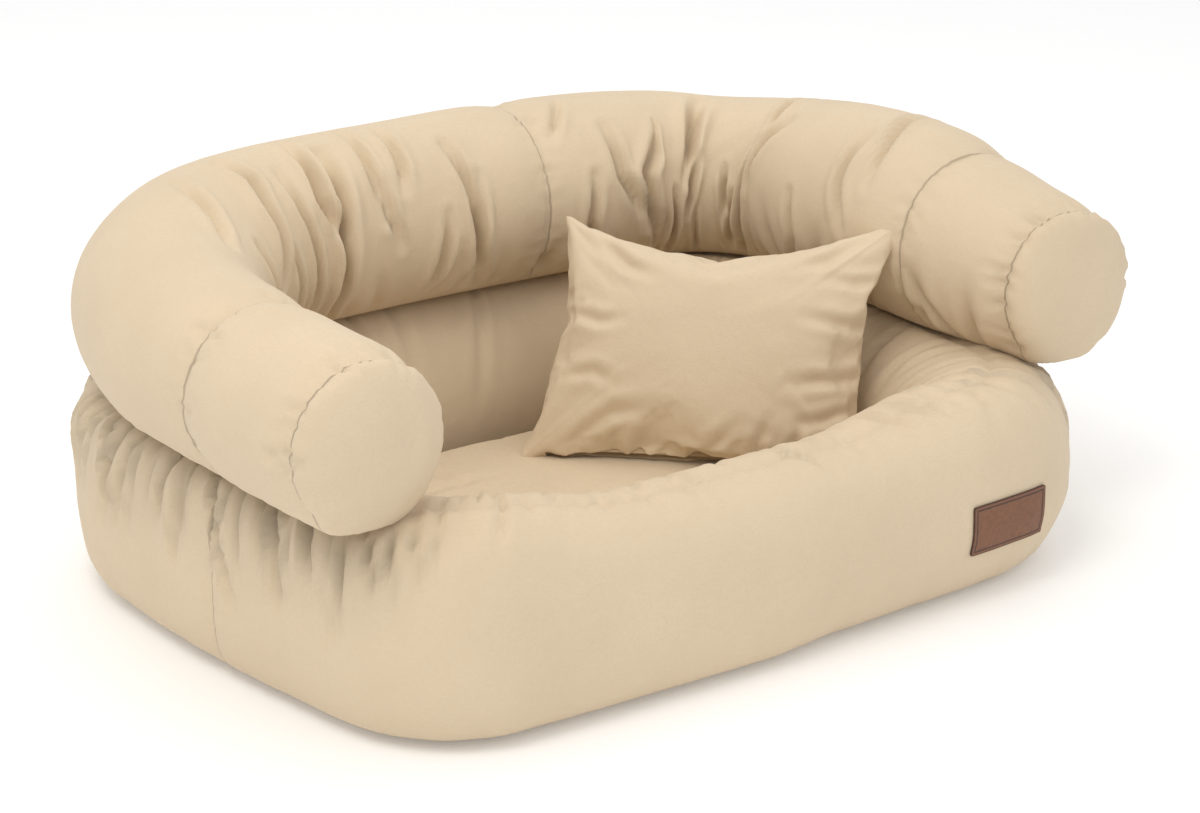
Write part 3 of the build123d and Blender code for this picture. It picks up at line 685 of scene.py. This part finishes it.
def makeSlab():
    bm = bmesh.new()
    bmesh.ops.create_cube(bm, size=1)
    bmesh.ops.scale(bm, vec=seat["size"], verts=bm.verts)
    upright = [edge for edge in bm.edges if isUpright(edge, seat["size"][2] * 0.5)]
    bmesh.ops.bevel(bm, geom=upright, offset=seat["corner"], segments=seat["cornerSteps"], affect="EDGES",
                    profile=0.5, material=-1)
    rim = [edge for edge in bm.edges if isRim(edge)]
    bmesh.ops.bevel(bm, geom=rim, offset=seat["edge"], segments=seat["edgeSteps"], affect="EDGES",
                    profile=0.5, material=-1)
    bmesh.ops.translate(bm, vec=seat["middle"], verts=bm.verts)
    bmesh.ops.recalc_face_normals(bm, faces=bm.faces)
    return meshObject("seatCushion", bm)


def remesh(obj):
    change = obj.modifiers.new("remesh", "REMESH")
    change.mode = "VOXEL"
    change.voxel_size = seat["voxel"]
    applyModifiers(obj)
    soften = obj.modifiers.new("soften", "SMOOTH")
    soften.iterations = seat["smoothings"]
    applyModifiers(obj)


def makeSeat():
    obj = makeSlab()
    remesh(obj)
    inflate(obj, seat["blow"])
    refine(obj)
    points, normals = readPoints(obj), readNormals(obj)
    x, y = points[:, 0], points[:, 1]
    side = soft(1 - np.abs(normals[:, 2]) / 0.7)
    gap = points[:, 2] - seat["seamLevel"]
    move = -side * sum(groove(gap, width, depth) for width, depth in seat["seamPinches"])
    ring = np.arctan2(y - seat["middle"][1], x * seat["seamOval"]) * seat["seamRound"]
    half = math.pi * seat["seamRound"]
    move += side * pleatRow(seat["seamRow"], (-half, half), ring, np.abs(gap))
    top = soft(normals[:, 2])
    move += top * seat["puff"] * cloudy(*seat["puffWaves"])(x, y)
    for path, width, depth in seatFolds:
        move += top * foldDepth(x, y, path, width, depth)
    points += normals * move[:, None]
    points[:, 2] = np.maximum(points[:, 2], seat["bottom"])
    writePoints(obj, points)
    return obj


seatCushion = makeSeat()
print("seat made", len(seatCushion.data.vertices))

# Throw pillow: two sheets sewn at the rim and blown up, leaning on the roll
pillow = {
    "width": 0.334, "height": 0.252, "rim": 0.006, "step": 0.0042,
    "blow": {"pressure": 8.0, "cap": 0.080, "frames": 26, "growth": 0.0, "bend": 0.10, "tension": 40},
    "uneven": 0.0006, "unevenWaves": (102, 20, 6, 26), "grainSeed": 101, "grain": 0.00005, "quickPuff": 0.043,
    "thickness": 0.102, "creaseFrom": 0.012, "zipEdge": -0.1120, "zipX": (0.150, 0.120),
    "leanY": (-0.12, 0.12), "forward": 0.018, "cornerForward": 0.024, "cornerX": (-0.02, 0.14),
    "edgeReach": 0.12, "sag": 0.010, "sagReach": 0.15,
    "middle": (0.146, -0.010, 0.157), "heading": -43.8, "lean": 35.2, "skew": 7.0,  # metres, degrees
}
pillowFolds = (  # path in the pillow's plane, then width and depth
    (((0.158, 0.020), (0.120, 0.012), (0.085, 0.016)), 0.0050, 0.0042),
    (((0.156, -0.020), (0.118, -0.036), (0.080, -0.040)), 0.0048, 0.0046),
    (((0.152, -0.055), (0.118, -0.068), (0.092, -0.070)), 0.0045, 0.0036),
    (((0.154, 0.060), (0.125, 0.052), (0.100, 0.054)), 0.0045, 0.0034),
    (((-0.118, -0.098), (-0.075, -0.068), (-0.040, -0.062)), 0.0055, 0.0050),
    (((-0.060, -0.112), (-0.045, -0.088), (-0.010, -0.078)), 0.0050, 0.0044),
    (((0.010, -0.114), (0.016, -0.086), (0.040, -0.070)), 0.0048, 0.0038),
    (((0.066, -0.112), (0.062, -0.084), (0.070, -0.066)), 0.0048, 0.0038),
    (((0.105, -0.108), (0.095, -0.086), (0.098, -0.070)), 0.0044, 0.0034),
    (((-0.130, 0.020), (-0.100, 0.008), (-0.080, 0.010)), 0.0048, 0.0034),
    (((-0.126, -0.040), (-0.098, -0.036), (-0.078, -0.044)), 0.0046, 0.0032),
    (((-0.118, 0.096), (-0.085, 0.066), (-0.060, 0.056)), 0.0055, 0.0040),
    (((0.128, 0.100), (0.095, 0.074), (0.070, 0.066)), 0.0055, 0.0038),
)


def pillowAxes():
    turn, lean = math.radians(pillow["heading"]), math.radians(pillow["lean"])
    across = Vector((math.cos(turn), math.sin(turn), 0))
    behind = Vector((-across.y, across.x, 0))
    up = behind * math.sin(lean) + Vector((0, 0, math.cos(lean)))
    return np.array(across), np.array(up), np.array(across.cross(up))


def pillowCreases(local):  # the main creases of the photograph, on both faces
    move = np.zeros(len(local))
    for path, width, depth in pillowFolds:
        move += foldDepth(local[:, 0], local[:, 1], path, width, depth)
    return move * soft(np.abs(local[:, 2]) / pillow["creaseFrom"])


def lowerEdge(local):  # lowest point of the cloth in each slice across the pillow
    slices = np.linspace(-0.16, 0.16, 41)
    lowest = np.zeros(len(slices))
    for number, place in enumerate(slices):
        near = np.abs(local[:, 0] - place) < 0.006
        if near.any():
            lowest[number] = local[near, 1].min()
    return slices, lowest


def blankPillow():  # flat closed bag, cut into small squares
    bm = bmesh.new()
    bmesh.ops.create_cube(bm, size=1)
    bmesh.ops.scale(bm, vec=(pillow["width"], pillow["height"], pillow["rim"]), verts=bm.verts)
    wide = [edge for edge in bm.edges if abs(edge.verts[0].co.x - edge.verts[1].co.x) > 0.1]
    bmesh.ops.subdivide_edges(bm, edges=wide, cuts=int(pillow["width"] / pillow["step"]), use_grid_fill=True)
    high = [edge for edge in bm.edges if abs(edge.verts[0].co.y - edge.verts[1].co.y) > 0.1]
    bmesh.ops.subdivide_edges(bm, edges=high, cuts=int(pillow["height"] / pillow["step"]), use_grid_fill=True)
    return meshObject("throwPillow", bm)


def makePillow():
    obj = blankPillow()
    flat = readPoints(obj)
    setUv(obj, flat[:, :2].copy())
    rng = np.random.default_rng(pillow["grainSeed"])
    uneven = cloudy(*pillow["unevenWaves"])(flat[:, 0], flat[:, 1])
    flat[:, 2] += pillow["uneven"] * uneven + rng.normal(0, pillow["grain"], len(flat))
    writePoints(obj, flat)
    inflate(obj, pillow["blow"])
    refine(obj)
    local = readPoints(obj)
    local[:, 2] *= pillow["thickness"] / (local[:, 2].max() - local[:, 2].min())
    local[:, 2] += np.where(local[:, 2] > 0, 1, -1) * pillowCreases(local)
    lower = soft(-local[:, 1] / pillow["edgeReach"]) * between(np.abs(local[:, 0]), *pillow["zipX"])
    local[:, 1] += lower * (pillow["zipEdge"] - np.interp(local[:, 0], *lowerEdge(local)))
    forward = pillow["forward"] + pillow["cornerForward"] * between(local[:, 0], *pillow["cornerX"])
    local[:, 2] += between(local[:, 1], *pillow["leanY"]) * forward
    crown = np.clip(1 - (local[:, 0] / pillow["sagReach"]) ** 2, 0, 1)
    local[:, 1] -= pillow["sag"] * soft(local[:, 1] / pillow["edgeReach"]) * crown
    across, up, face = pillowAxes()
    skewed = local[:, 0] + math.sin(math.radians(pillow["skew"])) * local[:, 1]
    placed = np.outer(skewed, across) + np.outer(local[:, 1], up) + np.outer(local[:, 2], face)
    writePoints(obj, np.array(pillow["middle"]) + placed)
    return obj


throwPillow = makePillow()
print("pillow made", len(throwPillow.data.vertices))

# Zip slots in both cushions, round the zips of the frame
zipSlot = {"margin": 0.0003, "reach": 0.030}


def boxOf(points, axes):  # low and high corner along the given axes
    spread = points @ np.array(axes).T
    return spread.min(axis=0), spread.max(axis=0)


def makeCutter(low, high, axes):
    bm = bmesh.new()
    bmesh.ops.create_cube(bm, size=1)
    turn = Matrix([list(axis) for axis in axes]).transposed().to_4x4()
    size = Matrix.Diagonal((*(high - low).tolist(), 1))
    place = turn @ Matrix.Translation(((low + high) / 2).tolist()) @ size
    bmesh.ops.transform(bm, matrix=place, verts=bm.verts)
    return meshObject("slotCutter", bm)


def cutSlot(obj, tapesName, along, out, selfCrossing=False):
    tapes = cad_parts[tapesName]
    corners = np.array([tuple(tapes.matrix_world @ v.co) for v in tapes.data.vertices])
    axes = (along, out, np.cross(along, out))
    low, high = boxOf(corners, axes)
    margin = zipSlot["margin"]
    cutter = makeCutter(low - margin, high + margin + np.array([0, zipSlot["reach"], 0]), axes)
    change = obj.modifiers.new("slot", "BOOLEAN")
    change.operation = "DIFFERENCE"
    change.object = cutter
    change.solver = "EXACT"
    change.use_self = selfCrossing
    applyModifiers(obj)
    cutterMesh = cutter.data
    bpy.data.objects.remove(cutter)
    bpy.data.meshes.remove(cutterMesh)


pillowAcross, pillowUp, _ = pillowAxes()
cutSlot(seatCushion, "seat_zip_tapes", np.array((1.0, 0.0, 0.0)), np.array((0.0, 1.0, 0.0)))
cutSlot(throwPillow, "pillow_zip_tapes", pillowAcross, -pillowUp, selfCrossing=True)
print("zip slots cut", len(seatCushion.data.vertices), len(throwPillow.data.vertices))

# Leather label, laid on the wall's front
label = {"width": 0.090, "height": 0.045, "thickness": 0.0016, "corner": 0.002, "lift": 0.0004,
         "middle": (0.222, 0.073), "cells": (60, 30), "smoothings": 24}


def labelPlan(flat):  # sheet coordinates with rounded corners
    halfWide, halfHigh = label["width"] / 2, label["height"] / 2
    cut = label["corner"]
    x, z = flat[:, 0] * label["width"], flat[:, 1] * label["height"]
    overX = np.maximum(np.abs(x) - (halfWide - cut), 0)
    overZ = np.maximum(np.abs(z) - (halfHigh - cut), 0)
    over = np.hypot(overX, overZ)
    pull = np.maximum(over - cut, 0) / np.maximum(over, 1e-9)
    return x - np.sign(x) * overX * pull, z - np.sign(z) * overZ * pull


def makeLabel(ground):
    corners = [v.co.copy() for v in ground.data.vertices]
    tree = BVHTree.FromPolygons(corners, [tuple(face.vertices) for face in ground.data.polygons])
    wide, high = label["cells"]
    obj = gridMesh("leatherLabel", wide, high, size=0.5)
    flat = readPoints(obj)
    setUv(obj, flat[:, :2] * (label["width"], label["height"]))
    middleX, middleZ = label["middle"]
    laid = []
    for dx, dz in zip(*labelPlan(flat)):
        start = Vector((middleX + dx, -0.5, middleZ + dz))
        laid.append(tuple(tree.ray_cast(start, Vector((0, 1, 0)))[0]))
    laid = np.array(laid)
    order = np.lexsort((flat[:, 0], flat[:, 1]))
    depth = laid[order, 1].reshape(high + 1, wide + 1)
    for _ in range(label["smoothings"]):  # spans the folds under it
        padded = np.pad(depth, 1, mode="edge")
        smooth = (padded[:-2, 1:-1] + padded[2:, 1:-1] + padded[1:-1, :-2] + padded[1:-1, 2:]) / 4
        depth = np.minimum(depth, smooth)
    laid[order, 1] = depth.ravel() - label["lift"]
    writePoints(obj, laid)
    thick = obj.modifiers.new("thickness", "SOLIDIFY")
    thick.thickness = label["thickness"]
    thick.offset = 1
    applyModifiers(obj)
    bm = bmesh.new()
    bm.from_mesh(obj.data)
    bmesh.ops.recalc_face_normals(bm, faces=bm.faces)
    bm.to_mesh(obj.data)
    bm.free()
    return obj


leatherLabel = makeLabel(wallForm)
print("label laid on the wall")

dressed = (
    (wallForm, "sofa", "cover_fabric", 0.85,
     ("front_wall_cover", "rear_wall_cover", "inner_wall_lining", "front_wall_filling", "rear_wall_filling")),
    (rollForm, "sofa", "cover_fabric", 0.8,
     ("left_arm_cover", "left_back_cover", "right_back_cover", "right_arm_cover",
      "left_arm_filling", "left_back_filling", "right_back_filling", "right_arm_filling",
      "left_arm_end_cap", "right_arm_end_cap")),
    (baseSheet, "sofa", "base_fabric", None, ("base_panel",)),
    (leatherLabel, "sofa", "label_leatherette", None, ("leather_label",)),
    (seatCushion, "seat_cushion", "cover_fabric", 0.8,
     ("seat_cover_top", "seat_cover_bottom", "seat_filling")),
    (throwPillow, "throw_pillow", "cover_fabric", 0.75,
     ("pillow_front_cover", "pillow_back_cover", "pillow_filling")),
)
for piece, body, slotName, fill, nodes in dressed:
    if piece is not baseSheet:
        smoothShade(piece)
    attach(piece, body)
    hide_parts(*nodes)
print("pieces on their bodies", len(dressed))

# Shared effect groups and small node helpers
clothNoise = {
    "threads": ((220, 220, 1700), (1700, 1700, 220)),  # how the noise is stretched for each thread direction
    "slow": (9, 4), "slubs": (420, 2),  # noise scale and detail
}


def noiseNode(tree, vector, scale, detail, roughness=0.5):
    node = tree.nodes.new("ShaderNodeTexNoise")
    node.inputs["Scale"].default_value = scale
    node.inputs["Detail"].default_value = detail
    node.inputs["Roughness"].default_value = roughness
    tree.links.new(vector, node.inputs["Vector"])
    return node.outputs["Fac"]


def mathNode(tree, operation, first, second):
    node = tree.nodes.new("ShaderNodeMath")
    node.operation = operation
    for number, value in enumerate((first, second)):
        if isinstance(value, (int, float)):
            node.inputs[number].default_value = value
        elif value is not None:
            tree.links.new(value, node.inputs[number])
    return node.outputs[0]


def newGroup(name, outputs):  # takes a place, gives masks and heights
    group = bpy.data.node_groups.new(name, "ShaderNodeTree")
    group.interface.new_socket(name="Vector", in_out="INPUT", socket_type="NodeSocketVector")
    for title in outputs:
        group.interface.new_socket(name=title, in_out="OUTPUT", socket_type="NodeSocketFloat")
    return group, group.nodes.new("NodeGroupInput").outputs["Vector"], group.nodes.new("NodeGroupOutput")


def makeWeaveGroup():  # crossing threads from two stretched noises, and the gaps between them
    group, place, end = newGroup("threadWeave", ("Height", "Gaps"))
    threads = []
    for stretch in clothNoise["threads"]:
        spread = group.nodes.new("ShaderNodeMapping")
        spread.inputs["Scale"].default_value = stretch
        group.links.new(place, spread.inputs["Vector"])
        threads.append(noiseNode(group, spread.outputs[0], 1, 1))
    height = mathNode(group, "MULTIPLY", mathNode(group, "ADD", threads[0], threads[1]), 0.5)
    group.links.new(height, end.inputs["Height"])
    group.links.new(mathNode(group, "SUBTRACT", 1.0, height), end.inputs["Gaps"])
    return group


def makeMottleGroup():  # slow and fine colour variation, 0 to 1
    group, place, end = newGroup("clothMottle", ("Mask", "Slubs"))
    group.links.new(noiseNode(group, place, *clothNoise["slow"]), end.inputs["Mask"])
    group.links.new(noiseNode(group, place, *clothNoise["slubs"]), end.inputs["Slubs"])
    return group


weaveGroup, mottleGroup = makeWeaveGroup(), makeMottleGroup()


def newMaterial(name, roughness, metallic=0.0):
    material = bpy.data.materials.new(name)
    material.use_nodes = True
    shader = material.node_tree.nodes["Principled BSDF"]
    shader.inputs["Roughness"].default_value = roughness
    shader.inputs["Metallic"].default_value = metallic
    return material, material.node_tree, shader


def mixColour(tree, factor, first, second):
    mix = tree.nodes.new("ShaderNodeMix")
    mix.data_type = "RGBA"
    tree.links.new(factor, mix.inputs[0])
    for socket, value in ((mix.inputs[6], first), (mix.inputs[7], second)):
        if isinstance(value, tuple):
            socket.default_value = (*value, 1)
        else:
            tree.links.new(value, socket)
    return mix.outputs[2]


def bump(tree, height, distance, strength=1.0, normal=None):
    node = tree.nodes.new("ShaderNodeBump")
    node.inputs["Strength"].default_value = strength
    node.inputs["Distance"].default_value = distance
    tree.links.new(height, node.inputs["Height"])
    if normal:
        tree.links.new(normal, node.inputs["Normal"])
    return node.outputs[0]


def ramp(tree, value, low, high):
    node = tree.nodes.new("ShaderNodeMapRange")
    node.inputs["From Min"].default_value = low
    node.inputs["From Max"].default_value = high
    tree.links.new(value, node.inputs["Value"])
    return node.outputs[0]


def inverse(tree, value):
    return mathNode(tree, "SUBTRACT", 1.0, value)


def absolute(tree, value):
    return mathNode(tree, "ABSOLUTE", value, None)


def objectPlace(tree):
    return tree.nodes.new("ShaderNodeTexCoord").outputs["Object"]


def clothPlace(tree):  # along and around the cloth, in metres
    uv = tree.nodes.new("ShaderNodeUVMap")
    uv.uv_map = "cloth"
    apart = tree.nodes.new("ShaderNodeSeparateXYZ")
    tree.links.new(uv.outputs[0], apart.inputs[0])
    return apart.outputs


def groupNode(tree, group, place):
    node = tree.nodes.new("ShaderNodeGroup")
    node.node_tree = group
    tree.links.new(place, node.inputs["Vector"])
    return node.outputs


# Cover fabric: a matt plain weave with painted shade in the gaps between threads, its sewn lines a little
# darker, and painted shade in the gathers and creases
fabric = {
    "light": (0.695, 0.565, 0.402), "dark": (0.600, 0.484, 0.338), "slowSpread": (0.30, 0.70),
    "tapeLight": (0.50, 0.38, 0.24), "tapeDark": (0.38, 0.28, 0.17), "gapSpread": (0.42, 0.95),
    "thread": (0.30, 0.235, 0.155), "threadShare": 0.50, "threadSink": 4.0, "seamHalf": (0.0002, 0.0011),
    # colour and share of the painted shade in gathers and creases
    "paintedShade": (0.235, 0.190, 0.130), "paintedShadeShare": 0.72,
    "roughness": 0.88, "roughnessSpread": 0.06, "sheen": 0.10, "sheenRoughness": 0.5, "specular": 0.25,
    "crumple": (46, 5, 0.55), "crumpleBump": 0.0016, "weaveBump": 0.00022,
}


def seamMask(tree, seams):  # 1 on the thin sewn lines, which lie across the cloth's length
    along = clothPlace(tree)[0]
    nearest = None
    for place in seams:
        gap = absolute(tree, mathNode(tree, "SUBTRACT", along, place))
        nearest = gap if nearest is None else mathNode(tree, "MINIMUM", nearest, gap)
    return inverse(tree, ramp(tree, nearest, *fabric["seamHalf"]))


def makeCoverFabric(name, light, dark, seams=()):
    material, tree, shader = newMaterial(name, fabric["roughness"])
    place = objectPlace(tree)
    mottle, weave = groupNode(tree, mottleGroup, place), groupNode(tree, weaveGroup, place)
    halfDark = tuple(0.5 * (a + b) for a, b in zip(light, dark))
    colour = mixColour(tree, ramp(tree, mottle["Mask"], *fabric["slowSpread"]), light, halfDark)
    # painted shade: the low gaps between the threads are mixed toward the dark colour
    colour = mixColour(tree, ramp(tree, weave["Gaps"], *fabric["gapSpread"]), colour, dark)
    height = weave["Height"]
    if seams:
        line = seamMask(tree, seams)
        sewn = mathNode(tree, "MULTIPLY", line, fabric["threadShare"])
        colour = mixColour(tree, sewn, colour, fabric["thread"])
        # painted shade: the cloth is mixed toward a dark brown where the shade attribute is set
        paintedShade = tree.nodes.new("ShaderNodeAttribute")
        paintedShade.attribute_name = "paintedShade"
        shade = mathNode(tree, "MULTIPLY", paintedShade.outputs["Fac"], fabric["paintedShadeShare"])
        colour = mixColour(tree, shade, colour, fabric["paintedShade"])
        height = mathNode(tree, "SUBTRACT", height, mathNode(tree, "MULTIPLY", line, fabric["threadSink"]))
    tree.links.new(colour, shader.inputs["Base Color"])
    spread = tree.nodes.new("ShaderNodeMapRange")
    spread.inputs["To Min"].default_value = fabric["roughness"] - fabric["roughnessSpread"]
    spread.inputs["To Max"].default_value = fabric["roughness"] + fabric["roughnessSpread"]
    tree.links.new(ramp(tree, mottle["Slubs"], 0.2, 0.8), spread.inputs["Value"])
    tree.links.new(spread.outputs[0], shader.inputs["Roughness"])
    crumpled = bump(tree, noiseNode(tree, place, *fabric["crumple"]), fabric["crumpleBump"], 0.6)
    tree.links.new(bump(tree, height, fabric["weaveBump"], 0.8, crumpled), shader.inputs["Normal"])
    shader.inputs["Sheen Weight"].default_value = fabric["sheen"]
    shader.inputs["Sheen Roughness"].default_value = fabric["sheenRoughness"]
    shader.inputs["Specular IOR Level"].default_value = fabric["specular"]
    return material


# Leatherette: fine grain, a burnt line inside the edge
leather = {
    "middle": (0.165, 0.066, 0.030), "light": (0.215, 0.088, 0.040), "border": (0.060, 0.022, 0.012),
    "roughness": 0.55, "borderWidth": 0.0042, "lineHalf": (0.0004, 0.0012), "edge": (0.0006, 0.0020),
    "patches": (260, 4), "wander": 0.0012, "grain": 900, "grainHeight": 0.25, "grainBump": 0.0003,
}


def makeLeather():
    material, tree, shader = newMaterial("labelLeatherette", leather["roughness"])
    place, across = objectPlace(tree), clothPlace(tree)
    fromSide = mathNode(tree, "SUBTRACT", label["width"] / 2, absolute(tree, across[0]))
    fromTop = mathNode(tree, "SUBTRACT", label["height"] / 2, absolute(tree, across[1]))
    patches = noiseNode(tree, place, *leather["patches"])
    wander = mathNode(tree, "MULTIPLY", patches, leather["wander"])
    rim = mathNode(tree, "ADD", mathNode(tree, "MINIMUM", fromSide, fromTop), wander)
    line = absolute(tree, mathNode(tree, "SUBTRACT", rim, leather["borderWidth"]))
    burnt = inverse(tree, ramp(tree, line, *leather["lineHalf"]))
    edge = inverse(tree, ramp(tree, rim, *leather["edge"]))
    body = mixColour(tree, ramp(tree, patches, 0.3, 0.7), leather["middle"], leather["light"])
    dark = mathNode(tree, "MAXIMUM", burnt, edge)
    tree.links.new(mixColour(tree, dark, body, leather["border"]), shader.inputs["Base Color"])
    grain = tree.nodes.new("ShaderNodeTexVoronoi")
    grain.inputs["Scale"].default_value = leather["grain"]
    tree.links.new(place, grain.inputs["Vector"])
    raised = mathNode(tree, "MULTIPLY", grain.outputs["Distance"], leather["grainHeight"])
    pressed = mathNode(tree, "SUBTRACT", raised, burnt)
    tree.links.new(bump(tree, pressed, leather["grainBump"], 0.8), shader.inputs["Normal"])
    return material


# Plain finishes: two colours, roughness, grain scale and depth, metallic
finishes = {
    "baseFabric": ((0.045, 0.040, 0.035), (0.020, 0.018, 0.016), 0.9, 700, 0.0003, 0.0),
    "coilNylon": ((0.42, 0.31, 0.19), (0.34, 0.25, 0.15), 0.45, 900, 0.0002, 0.0),
    "zipMetal": ((0.60, 0.58, 0.54), (0.52, 0.50, 0.46), 0.32, 1200, 0.00003, 1.0),
}


def makeGrainy(name, light, dark, roughness, scale, depth, metallic):
    material, tree, shader = newMaterial(name, roughness, metallic)
    grain = noiseNode(tree, objectPlace(tree), scale, 3)
    tree.links.new(mixColour(tree, ramp(tree, grain, 0.3, 0.7), light, dark), shader.inputs["Base Color"])
    tree.links.new(bump(tree, grain, depth, 0.6), shader.inputs["Normal"])
    return material


def dressWith(obj, material):
    obj.data.materials.clear()
    obj.data.materials.append(material)


coverFabric = makeCoverFabric("coverFabric", fabric["light"], fabric["dark"])
tapeFabric = makeCoverFabric("zipTape", fabric["tapeLight"], fabric["tapeDark"])
wallFabric = makeCoverFabric("wallFabric", fabric["light"], fabric["dark"], sideSeams)
rollFabric = makeCoverFabric("rollFabric", fabric["light"], fabric["dark"], (0.0, *roll["seams"], rollLength))
baseFabric, coilNylon, zipMetal = (makeGrainy(name, *finish) for name, finish in finishes.items())
for piece, material in ((wallForm, wallFabric), (rollForm, rollFabric), (seatCushion, coverFabric),
                        (throwPillow, coverFabric), (leatherLabel, makeLeather()), (baseSheet, baseFabric)):
    dressWith(piece, material)
zipFinishes = {"tapes": tapeFabric, "coil": coilNylon, "stops": zipMetal, "slider": zipMetal,
               "pull": zipMetal}
for cushion in ("seat", "pillow"):
    for part, material in zipFinishes.items():
        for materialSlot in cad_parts[cushion + "_zip_" + part].material_slots:
            materialSlot.material = material
print("materials on")

# Studio: pale floor, even sky, three soft lamps
studio = {
    "floorSize": 12, "floorLevel": -0.0005, "floorGrey": 0.90, "floorRoughness": 0.9, "floorGlow": 0.12,
    "skyColour": (0.978, 0.988, 1.0), "sky": 0.83, "lampColour": (1.0, 0.95, 0.86), "aim": (0, 0, 0.15),
    "lamps": {"key": ((-1.5, -0.7, 2.7), 1.3, 26), "fill": ((0.6, -2.4, 2.2), 2.5, 5),
              "top": ((0.3, 0.9, 2.8), 2.0, 14)},  # place, size, watts
}


def makeFloor():
    floor = gridMesh("floor", 1, 1, size=studio["floorSize"])
    floor.location = (0, 0, studio["floorLevel"])
    paint, _, shader = newMaterial("studioFloor", studio["floorRoughness"])
    shader.inputs["Base Color"].default_value = (*[studio["floorGrey"]] * 3, 1)
    shader.inputs["Emission Color"].default_value = (1, 1, 1, 1)
    shader.inputs["Emission Strength"].default_value = studio["floorGlow"]
    dressWith(floor, paint)


def lightStudio():
    world = bpy.data.worlds.new("studio")
    scene.world = world
    world.use_nodes = True
    sky = world.node_tree.nodes["Background"]
    sky.inputs["Color"].default_value = (*studio["skyColour"], 1)
    sky.inputs["Strength"].default_value = studio["sky"]
    for name, (place, size, power) in studio["lamps"].items():
        lamp = bpy.data.objects.new(name, bpy.data.lights.new(name, "AREA"))
        lamp.data.size = size
        lamp.data.energy = power
        lamp.data.color = studio["lampColour"]
        lamp.location = place
        away = Vector(studio["aim"]) - Vector(place)
        lamp.rotation_euler = away.to_track_quat("-Z", "Y").to_euler()
        scene.collection.objects.link(lamp)
    scene.view_settings.view_transform = "Standard"


makeFloor()
lightStudio()
print("studio ready")
